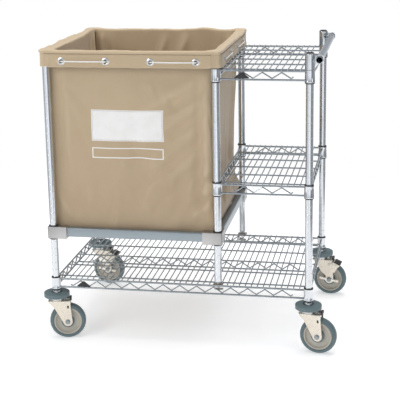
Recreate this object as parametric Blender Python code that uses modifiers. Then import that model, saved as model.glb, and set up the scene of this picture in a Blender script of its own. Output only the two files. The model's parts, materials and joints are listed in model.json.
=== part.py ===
"""Linen trolley: a wire-shelf frame on four swivel casters, with a hung fabric bag.

Metres, +Z up, +X to the trolley's right, -Y to its front. The origin is on the floor,
in the middle of the trolley's length and depth. Each object is one piece of the trolley.
"""

import math

import bmesh
import bpy
from mathutils import Matrix, Vector

GAP = 0.0003  # between pieces that touch

# The frame's plan: six posts in two rows of three.
POST_SPAN_X = 0.876
POST_SPAN_Y = 0.572
BAG_BAY = 0.571  # left posts to middle posts
LENGTH_MIDDLE = 0.4648  # left posts to the middle of the whole length
LEFT_X = -LENGTH_MIDDLE
MIDDLE_X = LEFT_X + BAG_BAY
RIGHT_X = LEFT_X + POST_SPAN_X
FRONT_Y = -POST_SPAN_Y / 2
REAR_Y = POST_SPAN_Y / 2

# Posts: round tube. The shelves clamp to it at a multiple of the groove pitch.
POST_RADIUS = 0.0127
POST_WALL = 0.0016
POST_SIDES = 12
POST_TOP = 1.0135
POST_BOTTOM = 0.1760
GROOVE_PITCH = 0.0254
CAP_HEIGHT = 0.003
CAP_PLUG = 0.012

# Wire shelves.
BOTTOM_SHELF_Z = 0.203  # the middle of its collars
MIDDLE_SHELF_Z = BOTTOM_SHELF_Z + 14 * GROOVE_PITCH
TOP_SHELF_Z = BOTTOM_SHELF_Z + 29 * GROOVE_PITCH
COLLAR_RADIUS = 0.016
COLLAR_HEIGHT = 0.041
TRUSS_HALF = 0.0145  # collar's middle to the edge's top or lower wire
EDGE_WIRE = 0.0032  # wire radii
SUPPORT_WIRE = 0.0026
CROSS_WIRE = 0.0029
DECK_WIRE = 0.0016
TRUSS_WIRE = 0.0019
DECK_SINK = 0.0012  # how deep the deck wires are welded into the edges
DECK_PITCH = 0.0204
DECK_CLEAR = 0.028  # collar's axis to the first deck wire
TRUSS_PERIOD = 0.059
TRUSS_START = COLLAR_RADIUS + 0.012  # post's axis to the zigzag's first bend
CROSS_TRUSS_START = 0.020
WIRE_PAST = 0.0010  # how far a support runs past the end wires
DECK_PAST = 0.0025  # and a deck wire past the edge wires
LONG_SUPPORTS = (0.036, 0.1155)  # posts' line to the first support, and the pitch
SHORT_SUPPORTS = (0.030, 0.110)
SUPPORT_COUNT = 5

# Bag frames: tubes between corner castings.
FRAME_TUBE_WIDTH = 0.024
FRAME_TUBE_HEIGHT = 0.032
FRAME_TUBE_WALL = 0.002
FRAME_TUBE_ROUND = 0.005
CASTING_HEIGHT = 0.042
CASTING_OUT = 0.0172  # posts' line to the casting's outer faces
CASTING_CHAMFER = 0.003
CASTING_REACH = 0.050
TUBE_LIFT = 0.002  # tube's middle above the casting's
LOWER_FRAME_Z = 0.388
UPPER_FRAME_Z = POST_TOP + 0.001 - CASTING_HEIGHT / 2
UPPER_SLEEVE_RADIUS = 0.017
CHANNEL_CLEAR = 0.020  # post's axis to the channel's open part
CHANNEL_ROOF = 0.004

# Bag: a sewn box of cloth whose hem is folded out over the upper frame.
CLOTH = 0.002
BAG_INSET = 0.0146  # posts' line to the middle of the cloth, inside
BAG_CORNER = 0.006
BAG_BOTTOM = 0.4005
BAG_FOLD = 0.004  # how far the bottom's edge is rounded
HEM_OUT = 0.0196  # posts' line to the middle of the cloth, outside
HEM_TOP = POST_TOP + CAP_HEIGHT + 0.0017
HEM_BOTTOM = 0.9625
HOLE_RADIUS = 0.0056
HOLE_Z = 0.981
HOLE_PITCH_X = 0.150
HOLE_PITCH_Y = 0.143
HOLES_A_SIDE = 4

# Lace: one cord threaded in and out of the hem.
LACE_RADIUS = 0.0025
LACE_OUT = HEM_OUT + CLOTH / 2 + GAP + LACE_RADIUS
LACE_IN = HEM_OUT - CLOTH / 2 - GAP - LACE_RADIUS
LACE_CORNER_Z = UPPER_FRAME_Z - CASTING_HEIGHT / 2 - GAP - LACE_RADIUS
LACE_LEAD = 0.006  # hole's middle to the lace's bend
LACE_LEAN = 0.0003
LACE_TURN = 0.030  # post's axis to where the lace starts round it

# Handle.
HANDLE_RADIUS = 0.011
HANDLE_WALL = 0.0015
HANDLE_REACH = 0.031  # right posts' line to the handle's axis
HANDLE_Z = 0.994
HANDLE_LENGTH = 0.616
SLEEVE_TOP = 1.0130
CLAMP_RADIUS = 0.0130
CLAMP_WIDTH = 0.022
WEB_WIDTH = 0.010
WEB_HEIGHT = 0.018
BRACE_LENGTH = 0.034
BRACE_SIDE = 0.006
BRACE_DROP = 0.019  # handle's axis to the brace's middle
BRACE_SLOPE = math.radians(-38)

# Casters.
WHEEL_RADIUS = 0.0635
WHEEL_WIDTH = 0.032
WHEEL_SIDES = 24
AXLE_Z = WHEEL_RADIUS * math.cos(math.pi / WHEEL_SIDES)  # the tyre stands on a facet
TRAIL = 0.035
AXLE_RADIUS = 0.005
FORK_INSIDE = 0.019  # wheel's middle to the leg's inner face
FORK_OUTSIDE = 0.022
CROWN_TOP = 0.1405
CROWN_BOTTOM = 0.1368
BUMPER_RADIUS = 0.0445
BUMPER_BOTTOM = 0.1520
BUMPER_TOP = 0.1700
BUMPER_CHAMFER = 0.0035
STEM_TOP = 0.235
CROWN_LEAD = 0.030  # swivel axis to the fork's leading end
CROWN_TRAIL = 0.0475
LEADING_EDGE = ((-0.028, 0.134), (-0.011, 0.117))  # a leg's corners under the crown
BRAKED_EDGE = ((0.004, 0.092), (0.020, 0.0775))
FOOT_RADIUS = 0.017
RACE_RADIUS = 0.024
RACE_HEIGHT = 0.004
KINGPIN_RADIUS = 0.006
NUT_RADIUS = 0.009
NUT_HEIGHT = 0.0035
PLATE_RADIUS = 0.028  # bearing plate under the bumper
PLATE_LIP = 0.002
SHANK_STEP = 0.0017  # stem in the post to the shank below it
HEAD_RADIUS = 0.0075
HEAD_HEIGHT = 0.005

# Rear casters' brakes: a lever pinned to the fork, and a bar across each leg's foot.
BRAKE_PIVOT = Vector((0.036, 0, 0.1205))
PIN_RADIUS = 0.004
PIN_PROUD = 0.003
ARM_RADIUS = 0.008
ARM_THICK = 0.002
PAD_ANGLE = math.radians(24)  # about the axle, from straight up
PAD_OUT = 0.0685  # axle to the pad's middle
PAD_SIZE = (0.030, 0.0502, 0.004)
ARM_FOOT = ((0.050, 0.092), (0.056, 0.0915), (0.066, 0.110))  # each arm's lower corners
FOOT_BAR = (0.074, 0.002, 0.0095)
FOOT_BAR_SLOPE = math.radians(8)
SWIVELS = {
    "front_left": (LEFT_X, FRONT_Y, math.radians(14)),
    "front_right": (RIGHT_X, FRONT_Y, math.radians(-9.5)),
    "rear_right": (RIGHT_X, REAR_Y, math.radians(-7)),
    "rear_left": (LEFT_X, REAR_Y, math.radians(-5)),
}

# Middle posts' feet, bolted through the bottom shelf.
FOOT_PLATE = (0.034, 0.030, 0.003)
FOOT_NECK_RADIUS = 0.0078
FOOT_NECK = 0.0084
FOOT_PLUG = 0.024  # how far the foot goes up into the post
FOOT_BOLT_IN = 0.0095  # posts' line to the bolt, inside
FOOT_BOLT_RADIUS = 0.003
FOOT_BOLT_DOWN = 0.006  # shelf's level to the bolt's end
FOOT_CLIP = (0.030, 0.011, 0.005)
DECK_TOP = BOTTOM_SHELF_Z + TRUSS_HALF + EDGE_WIRE + 2 * DECK_WIRE - DECK_SINK
PLATE_TOP = DECK_TOP + GAP + FOOT_PLATE[2]
FOOT_TOP = PLATE_TOP + FOOT_NECK

BADGE_SIZE = (0.056, 0.0022, 0.020)
BADGE_POINT = 0.006  # half the width of its blunt point

for old in list(bpy.data.objects):
    bpy.data.objects.remove(old, do_unlink=True)
parts = bpy.data.collections.new("linen_trolley")
cutters = bpy.data.collections.new("linen_trolley_cutters")
bpy.context.scene.collection.children.link(parts)
bpy.context.scene.collection.children.link(cutters)


def material(name, colour, metallic, roughness):
    made = bpy.data.materials.new(name)
    made.use_nodes = True
    shader = made.node_tree.nodes["Principled BSDF"]
    shader.inputs["Base Color"].default_value = (*colour, 1)
    shader.inputs["Metallic"].default_value = metallic
    shader.inputs["Roughness"].default_value = roughness
    made.diffuse_color = (*colour, 1)
    return made


CHROME = material("chrome", (0.75, 0.76, 0.78), 1.0, 0.15)
SATIN = material("satin_casting", (0.62, 0.64, 0.66), 0.9, 0.38)
FRAME_STEEL = material("frame_steel", (0.47, 0.52, 0.55), 0.8, 0.35)
ZINC = material("zinc_plate", (0.70, 0.63, 0.52), 0.7, 0.35)
BUMPER_RUBBER = material("bumper_rubber", (0.10, 0.16, 0.17), 0.0, 0.6)
TYRE_RUBBER = material("tyre_rubber", (0.12, 0.19, 0.20), 0.0, 0.5)
CORE_PLASTIC = material("wheel_plastic", (0.45, 0.42, 0.37), 0.0, 0.5)
BLACK_PLASTIC = material("black_plastic", (0.02, 0.02, 0.02), 0.0, 0.45)
BAG_CLOTH = material("bag_cloth", (0.50, 0.38, 0.24), 0.0, 0.85)
WHITE_CORD = material("white_cord", (0.85, 0.84, 0.80), 0.0, 0.8)


# Making and joining shapes.


def place(obj, finish):
    """Puts an object in the trolley, in one material."""
    parts.objects.link(obj)
    obj.data.materials.clear()
    obj.data.materials.append(finish)
    return obj


def smooth(obj, degrees=40):
    obj.data.shade_smooth()
    obj.data.set_sharp_from_angle(angle=math.radians(degrees))
    return obj


def as_cutter(obj):
    """Keeps an object only as an operand of a Boolean."""
    for home in list(obj.users_collection):
        home.objects.unlink(obj)
    cutters.objects.link(obj)
    obj.hide_render = True
    obj.display_type = "WIRE"
    return obj


def new_object(name, bm):
    mesh = bpy.data.meshes.new(name)
    bm.to_mesh(mesh)
    bm.free()
    return bpy.data.objects.new(name, mesh)


def turned(name, profile, steps, closed=False):
    """A round piece about Z from (radius, height) points, top to bottom on the outside."""
    mesh = bpy.data.meshes.new(name)
    points = [(radius, 0, height) for radius, height in profile]
    edges = [(i, i + 1) for i in range(len(points) - 1)]
    if closed:
        edges.append((len(points) - 1, 0))
    mesh.from_pydata(points, edges, [])
    obj = bpy.data.objects.new(name, mesh)
    screw = obj.modifiers.new("Turn", "SCREW")
    screw.axis = "Z"
    screw.angle = math.tau
    screw.steps = steps
    screw.render_steps = steps
    screw.use_merge_vertices = True
    screw.merge_threshold = 0.00001
    screw.use_smooth_shade = True
    return obj


def add_box(bm, size, centre, turn=None):
    """Adds a box to a bmesh, turned about its own centre."""
    scale = Matrix.Diagonal((*size, 1))
    spin = turn.to_4x4() if turn else Matrix.Identity(4)
    bmesh.ops.create_cube(bm, size=1, matrix=Matrix.Translation(centre) @ spin @ scale)


def add_rod(bm, start, end, radius, sides):
    """Adds a solid round bar to a bmesh, from one point to the other."""
    start = Vector(start)
    end = Vector(end)
    along = end - start
    turn = along.to_track_quat("Z", "Y").to_matrix().to_4x4()
    middle = Matrix.Translation((start + end) / 2)
    bmesh.ops.create_cone(
        bm,
        cap_ends=True,
        segments=sides,
        radius1=radius,
        radius2=radius,
        depth=along.length,
        matrix=middle @ turn,
    )


def from_curve(name, data):
    """A mesh object made from a curve, with its caps welded on."""
    curve = bpy.data.objects.new("outline", data)
    bpy.context.scene.collection.objects.link(curve)
    bpy.context.view_layer.update()
    graph = bpy.context.evaluated_depsgraph_get()
    mesh = bpy.data.meshes.new_from_object(curve.evaluated_get(graph))
    bm = bmesh.new()
    bm.from_mesh(mesh)
    bmesh.ops.remove_doubles(bm, verts=bm.verts, dist=0.00001)
    bm.to_mesh(mesh)
    bm.free()
    obj = bpy.data.objects.new(name, mesh)
    obj.matrix_world = curve.matrix_world
    bpy.data.objects.remove(curve, do_unlink=True)
    return obj


def extruded(name, outlines, thickness):
    """A flat plate in XY from closed outlines, the first outside and the rest holes."""
    data = bpy.data.curves.new(name, "CURVE")
    data.dimensions = "2D"
    data.fill_mode = "BOTH"
    data.extrude = thickness / 2
    for outline in outlines:
        spline = data.splines.new("POLY")
        spline.points.add(len(outline) - 1)
        for point, (x, y) in zip(spline.points, outline):
            point.co = (x, y, 0, 1)
        spline.use_cyclic_u = True
    return from_curve(name, data)


def bent_rod(name, points, radius, cyclic=False):
    """A square-sided wire that follows points."""
    data = bpy.data.curves.new(name, "CURVE")
    data.dimensions = "3D"
    data.bevel_depth = radius
    data.bevel_resolution = 0
    data.use_fill_caps = not cyclic
    spline = data.splines.new("POLY")
    spline.points.add(len(points) - 1)
    for point, place_at in zip(spline.points, points):
        point.co = (*place_at, 1)
    spline.use_cyclic_u = cyclic
    return from_curve(name, data)


def boolean(obj, other, operation, overlapping=False):
    """Joins or cuts with another object, which stays as a hidden operand."""
    as_cutter(other)
    step = obj.modifiers.new(operation.title(), "BOOLEAN")
    step.operation = operation
    step.solver = "EXACT"
    step.object = other
    step.use_self = overlapping
    return obj


def circle(radius, sides, centre=(0, 0)):
    turn = math.tau / sides
    return [
        (centre[0] + radius * math.cos(i * turn), centre[1] + radius * math.sin(i * turn))
        for i in range(sides)
    ]


def arc(centre, radius, start, end, count):
    """Points on an arc, from one angle to the other, in degrees."""
    angles = [math.radians(start + (end - start) * i / (count - 1)) for i in range(count)]
    return [(centre[0] + radius * math.cos(a), centre[1] + radius * math.sin(a)) for a in angles]


def rounded_rectangle(half_x, half_y, radius, count):
    """A rectangle about the origin, anticlockwise, with count points on each corner."""
    points = []
    for i, (sx, sy) in enumerate(((1, 1), (-1, 1), (-1, -1), (1, -1))):
        centre = (sx * (half_x - radius), sy * (half_y - radius))
        points += arc(centre, radius, 90 * i, 90 * i + 90, count)
    return points


ALONG_X = Matrix(((0, 0, 1), (1, 0, 0), (0, 1, 0))).to_4x4()  # an extrusion's axis to X
ALONG_Y = Matrix(((-1, 0, 0), (0, 0, 1), (0, 1, 0))).to_4x4()  # and to Y
UPRIGHT = Matrix(((1, 0, 0), (0, 0, -1), (0, 1, 0))).to_4x4()  # a plate's Y to Z


# Posts and their caps.


def make_posts():
    ends = {"left": LEFT_X, "middle": MIDDLE_X, "right": RIGHT_X}
    rows = {"front": FRONT_Y, "rear": REAR_Y}
    inside = POST_RADIUS - POST_WALL
    for row, y in rows.items():
        for side, x in ends.items():
            foot = FOOT_TOP + GAP if side == "middle" else POST_BOTTOM
            walls = [
                (POST_RADIUS, POST_TOP - foot),
                (POST_RADIUS, 0),
                (inside, 0),
                (inside, POST_TOP - foot),
            ]
            post = place(turned(f"post_{row}_{side}", walls, POST_SIDES, closed=True), CHROME)
            post.location = (x, y, foot)
            plug = inside - GAP
            head = [
                (0, CAP_HEIGHT),
                (POST_RADIUS - 0.0006, GAP + 0.0012),
                (POST_RADIUS - 0.0006, GAP),
                (plug, GAP),
                (plug, -CAP_PLUG),
                (0, -CAP_PLUG),
            ]
            cap = place(turned(f"post_cap_{row}_{side}", head, 12), BLACK_PLASTIC)
            cap.location = (x, y, POST_TOP)


# Wire shelves.


def truss_points(start, along, length, z_high, z_low):
    """A zigzag from the top wire at one end, between the wires, to the top wire again."""
    clear = EDGE_WIRE + TRUSS_WIRE + GAP
    halves = 2 * max(1, round(length / TRUSS_PERIOD))
    points = []
    for i in range(halves + 1):
        inner = z_low + clear if i % 2 else z_high - clear
        z = z_high if i in (0, halves) else inner
        points.append(start + along * (length * i / halves) + Vector((0, 0, z)))
    return points


def make_shelf(name, x_from, x_to, level, supports, middle_truss):
    """One welded shelf: collars, edge trusses, supports along X and deck wires along Y."""
    z_high = level + TRUSS_HALF
    z_low = level - TRUSS_HALF
    z_deck = z_high + EDGE_WIRE + DECK_WIRE - DECK_SINK
    z_support = z_deck - DECK_WIRE - GAP - SUPPORT_WIRE
    hook = (POST_RADIUS + GAP + COLLAR_RADIUS) / 2  # wires end in the collars' walls
    bm = bmesh.new()
    zigzags = []
    for y in (FRONT_Y, REAR_Y):
        for z in (z_high, z_low):
            add_rod(bm, (x_from + hook, y, z), (x_to - hook, y, z), EDGE_WIRE, 6)
        zigzags.append((Vector((x_from + TRUSS_START, y, 0)), Vector((1, 0, 0)), x_to - x_from))
    for x in (x_from, x_to):
        for z in (z_high, z_low):
            add_rod(bm, (x, FRONT_Y + hook, z), (x, REAR_Y - hook, z), EDGE_WIRE, 6)
        zigzags.append((Vector((x, FRONT_Y + TRUSS_START, 0)), Vector((0, 1, 0)), POST_SPAN_Y))
    left_end = x_from - WIRE_PAST
    right_end = x_to + WIRE_PAST
    for y in supports:
        add_rod(bm, (left_end, y, z_support), (right_end, y, z_support), SUPPORT_WIRE, 6)
    if middle_truss is not None:
        y = middle_truss
        add_rod(bm, (left_end, y, z_low), (right_end, y, z_low), CROSS_WIRE, 6)
    gaps = int((x_to - x_from - 2 * DECK_CLEAR) / DECK_PITCH)
    for i in range(gaps + 1):
        x = (x_from + x_to) / 2 + (i - gaps / 2) * DECK_PITCH
        front_end = (x, FRONT_Y - DECK_PAST, z_deck)
        add_rod(bm, front_end, (x, REAR_Y + DECK_PAST, z_deck), DECK_WIRE, 4)
    for x in (x_from, x_to):
        for y in (FRONT_Y, REAR_Y):
            top = (x, y, level + COLLAR_HEIGHT / 2)
            add_rod(bm, (x, y, level - COLLAR_HEIGHT / 2), top, COLLAR_RADIUS, POST_SIDES)
    wires = new_object(f"{name}_wires", bm)

    zigzag_meshes = bmesh.new()
    for start, along, span in zigzags:
        length = span - 2 * TRUSS_START
        rod = bent_rod("zigzag", truss_points(start, along, length, z_high, z_low), TRUSS_WIRE)
        zigzag_meshes.from_mesh(rod.data)
        bpy.data.objects.remove(rod, do_unlink=True)
    if middle_truss is not None:
        start = Vector((x_from + CROSS_TRUSS_START, middle_truss, 0))
        span = x_to - x_from - 2 * CROSS_TRUSS_START
        points = truss_points(start, Vector((1, 0, 0)), span, z_support, z_low)
        rod = bent_rod("zigzag", points, TRUSS_WIRE)
        zigzag_meshes.from_mesh(rod.data)
        bpy.data.objects.remove(rod, do_unlink=True)
    shelf = new_object(name, zigzag_meshes)
    boolean(shelf, wires, "UNION", overlapping=True)

    bores = bmesh.new()
    for x in (x_from, x_to):
        for y in (FRONT_Y, REAR_Y):
            low = (x, y, level - COLLAR_HEIGHT)
            add_rod(bores, low, (x, y, level + COLLAR_HEIGHT), POST_RADIUS + GAP, POST_SIDES)
    boolean(shelf, new_object(f"{name}_bores", bores), "DIFFERENCE")
    return place(shelf, CHROME)


def make_shelves():
    long, short = (
        [FRONT_Y + first + pitch * i for i in range(SUPPORT_COUNT)]
        for first, pitch in (LONG_SUPPORTS, SHORT_SUPPORTS)
    )
    middle = long[SUPPORT_COUNT // 2]
    make_shelf("bottom_shelf", LEFT_X, RIGHT_X, BOTTOM_SHELF_Z, long, middle)
    make_shelf("middle_shelf", MIDDLE_X, RIGHT_X, MIDDLE_SHELF_Z, short, None)
    make_shelf("top_shelf", MIDDLE_X, RIGHT_X, TOP_SHELF_Z, short, None)


def make_badges():
    """Blank name plates: flat triangles, point up, on the front edges."""
    half = BADGE_SIZE[0] / 2
    high = BADGE_SIZE[2] / 2
    outline = [(-half, -high), (half, -high), (BADGE_POINT, high), (-BADGE_POINT, high)]
    y = FRONT_Y - EDGE_WIRE - GAP - BADGE_SIZE[1] / 2
    spots = {
        "badge_bottom_shelf": (LEFT_X + 0.100, BOTTOM_SHELF_Z),
        "badge_top_shelf": (MIDDLE_X + 0.086, TOP_SHELF_Z),
    }
    for name, (x, z) in spots.items():
        badge = place(extruded(name, [outline], BADGE_SIZE[1]), BLACK_PLASTIC)
        badge.matrix_world = Matrix.Translation((x, y, z)) @ UPRIGHT


# The feet that stand the middle posts on the bottom shelf.


def make_feet():
    """A plate on the deck, a neck, a plug in the post, and a clip bolted below the wires."""
    plug = POST_RADIUS - POST_WALL - GAP
    for row, y, inward in (("front", FRONT_Y, 1), ("rear", REAR_Y, -1)):
        bm = bmesh.new()
        add_box(bm, FOOT_PLATE, (MIDDLE_X, y, PLATE_TOP - FOOT_PLATE[2] / 2))
        foot = new_object(f"post_foot_{row}_middle", bm)
        extras = bmesh.new()
        inside_plate = PLATE_TOP - FOOT_PLATE[2] / 2
        neck_top = (MIDDLE_X, y, FOOT_TOP + GAP)
        add_rod(extras, (MIDDLE_X, y, inside_plate), neck_top, FOOT_NECK_RADIUS, POST_SIDES)
        add_rod(extras, (MIDDLE_X, y, FOOT_TOP), (MIDDLE_X, y, FOOT_TOP + FOOT_PLUG), plug, POST_SIDES)
        bolt_y = y + inward * FOOT_BOLT_IN
        bolt_end = (MIDDLE_X, bolt_y, BOTTOM_SHELF_Z - FOOT_BOLT_DOWN)
        add_rod(extras, (MIDDLE_X, bolt_y, inside_plate), bolt_end, FOOT_BOLT_RADIUS, 8)
        add_box(extras, FOOT_CLIP, (MIDDLE_X, bolt_y, BOTTOM_SHELF_Z + 0.001))
        boolean(foot, new_object("foot_extras", extras), "UNION", overlapping=True)
        place(foot, SATIN)


# The frames that hold the bag.

BAG_CORNERS = {
    "front_left": (LEFT_X, FRONT_Y, 0),
    "front_right": (MIDDLE_X, FRONT_Y, 90),
    "rear_right": (MIDDLE_X, REAR_Y, 180),
    "rear_left": (LEFT_X, REAR_Y, 270),
}


def make_lower_frame():
    half = FRAME_TUBE_WIDTH / 2
    out = -CASTING_OUT
    cut = out + CASTING_CHAMFER
    outline = [(CASTING_REACH, out), (CASTING_REACH, half), (half, half), (half, CASTING_REACH)]
    outline += [(out, CASTING_REACH), (out, cut), (cut, out)]
    for corner, (x, y, turn) in BAG_CORNERS.items():
        bore = circle(POST_RADIUS + GAP, POST_SIDES)
        casting = extruded(f"lower_frame_casting_{corner}", [outline, bore], CASTING_HEIGHT)
        place(casting, SATIN)
        casting.location = (x, y, LOWER_FRAME_Z)
        casting.rotation_euler = (0, 0, math.radians(turn))

    middle = ((LEFT_X + MIDDLE_X) / 2, (FRONT_Y + REAR_Y) / 2)
    half_height = FRAME_TUBE_HEIGHT / 2
    wall = FRAME_TUBE_WALL
    section = rounded_rectangle(half, half_height, FRAME_TUBE_ROUND, 3)
    hollow = rounded_rectangle(half - wall, half_height - wall, FRAME_TUBE_ROUND - wall, 3)
    ends = 2 * (CASTING_REACH + GAP)
    z = LOWER_FRAME_Z + TUBE_LIFT
    spots = {
        "front": (BAG_BAY, ALONG_X, (middle[0], FRONT_Y, z)),
        "rear": (BAG_BAY, ALONG_X, (middle[0], REAR_Y, z)),
        "left": (POST_SPAN_Y, ALONG_Y, (LEFT_X, middle[1], z)),
        "right": (POST_SPAN_Y, ALONG_Y, (MIDDLE_X, middle[1], z)),
    }
    for side, (span, turn, centre) in spots.items():
        tube = extruded(f"lower_frame_tube_{side}", [section, hollow], span - ends)
        place(smooth(tube), FRAME_STEEL)
        tube.matrix_world = Matrix.Translation(centre) @ turn


def make_upper_frame():
    """The frame inside the hem: a channel open below, welded to a sleeve at each post."""
    half = FRAME_TUBE_WIDTH / 2
    centre = ((LEFT_X + MIDDLE_X) / 2, (FRONT_Y + REAR_Y) / 2)
    outside = rounded_rectangle(BAG_BAY / 2 + half, POST_SPAN_Y / 2 + half, 0.006, 2)
    inside = rounded_rectangle(BAG_BAY / 2 - half, POST_SPAN_Y / 2 - half, 0.002, 2)
    frame = extruded("upper_bag_frame", [outside, inside], FRAME_TUBE_HEIGHT)
    place(frame, FRAME_STEEL)
    frame.location = (*centre, UPPER_FRAME_Z)

    sleeves = bmesh.new()
    bores = bmesh.new()
    for x, y, _ in BAG_CORNERS.values():
        low = UPPER_FRAME_Z - CASTING_HEIGHT / 2
        high = UPPER_FRAME_Z + CASTING_HEIGHT / 2
        add_rod(sleeves, (x, y, low), (x, y, high), UPPER_SLEEVE_RADIUS, POST_SIDES)
        add_rod(bores, (x, y, low - 0.01), (x, y, high + 0.01), POST_RADIUS + GAP, POST_SIDES)
    boolean(frame, new_object("upper_sleeves", sleeves), "UNION")

    wall = FRAME_TUBE_WALL
    channel = FRAME_TUBE_WIDTH - 2 * wall
    clear = 2 * CHANNEL_CLEAR
    z = UPPER_FRAME_Z - CHANNEL_ROOF
    for y in (FRONT_Y, REAR_Y):
        add_box(bores, (BAG_BAY - clear, channel, FRAME_TUBE_HEIGHT), (centre[0], y, z))
    for x in (LEFT_X, MIDDLE_X):
        add_box(bores, (channel, POST_SPAN_Y - clear, FRAME_TUBE_HEIGHT), (x, centre[1], z))
    boolean(frame, new_object("upper_bores", bores), "DIFFERENCE")


# The bag and its lace.


def bag_ring(out, radius, z):
    """The bag's plan at one height, out from the posts' lines, as points."""
    centre_x = (LEFT_X + MIDDLE_X) / 2
    half_x = BAG_BAY / 2 + out
    half_y = POST_SPAN_Y / 2 + out
    return [Vector((centre_x + x, y, z)) for x, y in rounded_rectangle(half_x, half_y, radius, 5)]


def hem_holes():
    """Each hole's centre on the posts' line, its outward direction and its run, in order."""
    centre_x = (LEFT_X + MIDDLE_X) / 2
    sides = (
        (Vector((centre_x, FRONT_Y, 0)), Vector((0, -1, 0)), Vector((1, 0, 0)), HOLE_PITCH_X),
        (Vector((MIDDLE_X, 0, 0)), Vector((1, 0, 0)), Vector((0, 1, 0)), HOLE_PITCH_Y),
        (Vector((centre_x, REAR_Y, 0)), Vector((0, 1, 0)), Vector((-1, 0, 0)), HOLE_PITCH_X),
        (Vector((LEFT_X, 0, 0)), Vector((-1, 0, 0)), Vector((0, -1, 0)), HOLE_PITCH_Y),
    )
    for middle, outward, along, pitch in sides:
        for i in range(HOLES_A_SIDE):
            spot = middle + along * pitch * (i - (HOLES_A_SIDE - 1) / 2)
            yield i, Vector((spot.x, spot.y, HOLE_Z)), outward, along


def make_bag():
    rings = [
        (-BAG_INSET - BAG_FOLD, BAG_CORNER, BAG_BOTTOM),
        (-BAG_INSET, BAG_CORNER, BAG_BOTTOM + BAG_FOLD),
        (-BAG_INSET, BAG_CORNER, HEM_TOP - 0.006),
        (-BAG_INSET + 0.0025, BAG_CORNER, HEM_TOP - 0.001),
        (-BAG_INSET + 0.006, BAG_CORNER, HEM_TOP),
        (HEM_OUT - 0.006, HEM_OUT - 0.004, HEM_TOP),
        (HEM_OUT - 0.0015, HEM_OUT - 0.0015, HEM_TOP - 0.001),
        (HEM_OUT, HEM_OUT, HEM_TOP - 0.006),
        (HEM_OUT, HEM_OUT, HEM_BOTTOM),
    ]
    bm = bmesh.new()
    levels = []
    for out, radius, z in rings:
        levels.append([bm.verts.new(point) for point in bag_ring(out, radius, z)])
    bm.faces.new(levels[0])
    for below, above in zip(levels, levels[1:]):
        for i, corner in enumerate(below):
            after = (i + 1) % len(below)
            bm.faces.new((corner, below[after], above[after], above[i]))
    bmesh.ops.recalc_face_normals(bm, faces=bm.faces)
    bag = place(new_object("bag", bm), BAG_CLOTH)
    wall = bag.modifiers.new("Cloth", "SOLIDIFY")
    wall.thickness = CLOTH
    wall.offset = 0

    holes = bmesh.new()
    for _, spot, outward, _ in hem_holes():
        inner = spot + outward * (HEM_OUT - 0.004)
        add_rod(holes, inner, spot + outward * (HEM_OUT + 0.004), HOLE_RADIUS, 6)
    boolean(bag, new_object("hem_holes", holes), "DIFFERENCE")


def make_lace():
    """Outside the hem from each side's first hole to its second and third to fourth."""
    points = []
    for i, spot, outward, along in hem_holes():
        inner = spot + outward * LACE_IN
        outer = spot + outward * LACE_OUT
        first, second = (inner, outer) if i % 2 == 0 else (outer, inner)
        points += [first - along * LACE_LEAD, first + along * LACE_LEAN]
        points += [second - along * LACE_LEAN, second + along * LACE_LEAD]
        if i == HOLES_A_SIDE - 1:
            points += corner_lace(spot, outward, along)
    bent = bent_rod("hem_lace", points, LACE_RADIUS, cyclic=True)
    place(smooth(bent, 60), WHITE_CORD)


def corner_lace(spot, outward, along):
    """Round the post at the end of a side, under the upper frame's sleeve."""
    x = MIDDLE_X if (along.x + outward.x) > 0 else LEFT_X
    y = REAR_Y if (along.y + outward.y) > 0 else FRONT_Y
    post = Vector((x, y, LACE_CORNER_Z))
    before = post + outward * LACE_IN - along * LACE_TURN
    after = post + along * LACE_IN - outward * LACE_TURN
    bend = []
    for degrees in (0, 22.5, 45, 67.5, 90):
        a = math.radians(degrees)
        bend.append(post + (outward * math.cos(a) + along * math.sin(a)) * LACE_IN)
    return [before, *bend, after]


# The handle.


def make_handle():
    x = RIGHT_X + HANDLE_REACH
    half = HANDLE_LENGTH / 2
    inside = HANDLE_RADIUS - HANDLE_WALL
    walls = [(HANDLE_RADIUS, half), (HANDLE_RADIUS, -half), (inside, -half), (inside, half)]
    tube = place(turned("handle_tube", walls, 16, closed=True), FRAME_STEEL)
    tube.matrix_world = Matrix.Translation((x, 0, HANDLE_Z)) @ UPRIGHT

    low = TOP_SHELF_Z + COLLAR_HEIGHT / 2 + GAP
    for row, y in (("front", FRONT_Y), ("rear", REAR_Y)):
        bm = bmesh.new()
        add_rod(bm, (RIGHT_X, y, low), (RIGHT_X, y, SLEEVE_TOP), COLLAR_RADIUS, POST_SIDES)
        bracket = new_object(f"handle_bracket_{row}", bm)
        extras = bmesh.new()
        half_width = Vector((0, CLAMP_WIDTH / 2, 0))
        axis = Vector((x, y, HANDLE_Z))
        add_rod(extras, axis - half_width, axis + half_width, CLAMP_RADIUS, 16)
        web = (HANDLE_REACH - 0.004, WEB_WIDTH, WEB_HEIGHT)
        add_box(extras, web, (RIGHT_X + HANDLE_REACH / 2, y, HANDLE_Z))
        slope = Matrix.Rotation(BRACE_SLOPE, 3, "Y")
        foot = (RIGHT_X + HANDLE_REACH * 0.62, y, HANDLE_Z - BRACE_DROP)
        add_box(extras, (BRACE_LENGTH, BRACE_SIDE, BRACE_SIDE), foot, slope)
        boolean(bracket, new_object("bracket_extras", extras), "UNION", overlapping=True)
        bores = bmesh.new()
        add_rod(
            bores,
            (RIGHT_X, y, low - 0.01),
            (RIGHT_X, y, SLEEVE_TOP + 0.01),
            POST_RADIUS + GAP,
            POST_SIDES,
        )
        reach = Vector((0, CLAMP_WIDTH, 0))
        add_rod(bores, axis - reach, axis + reach, HANDLE_RADIUS + GAP, 16)
        boolean(bracket, new_object("bracket_bores", bores), "DIFFERENCE")
        place(bracket, CHROME)


# Casters. Each is made about its swivel axis, with the wheel trailing to +X.


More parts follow.
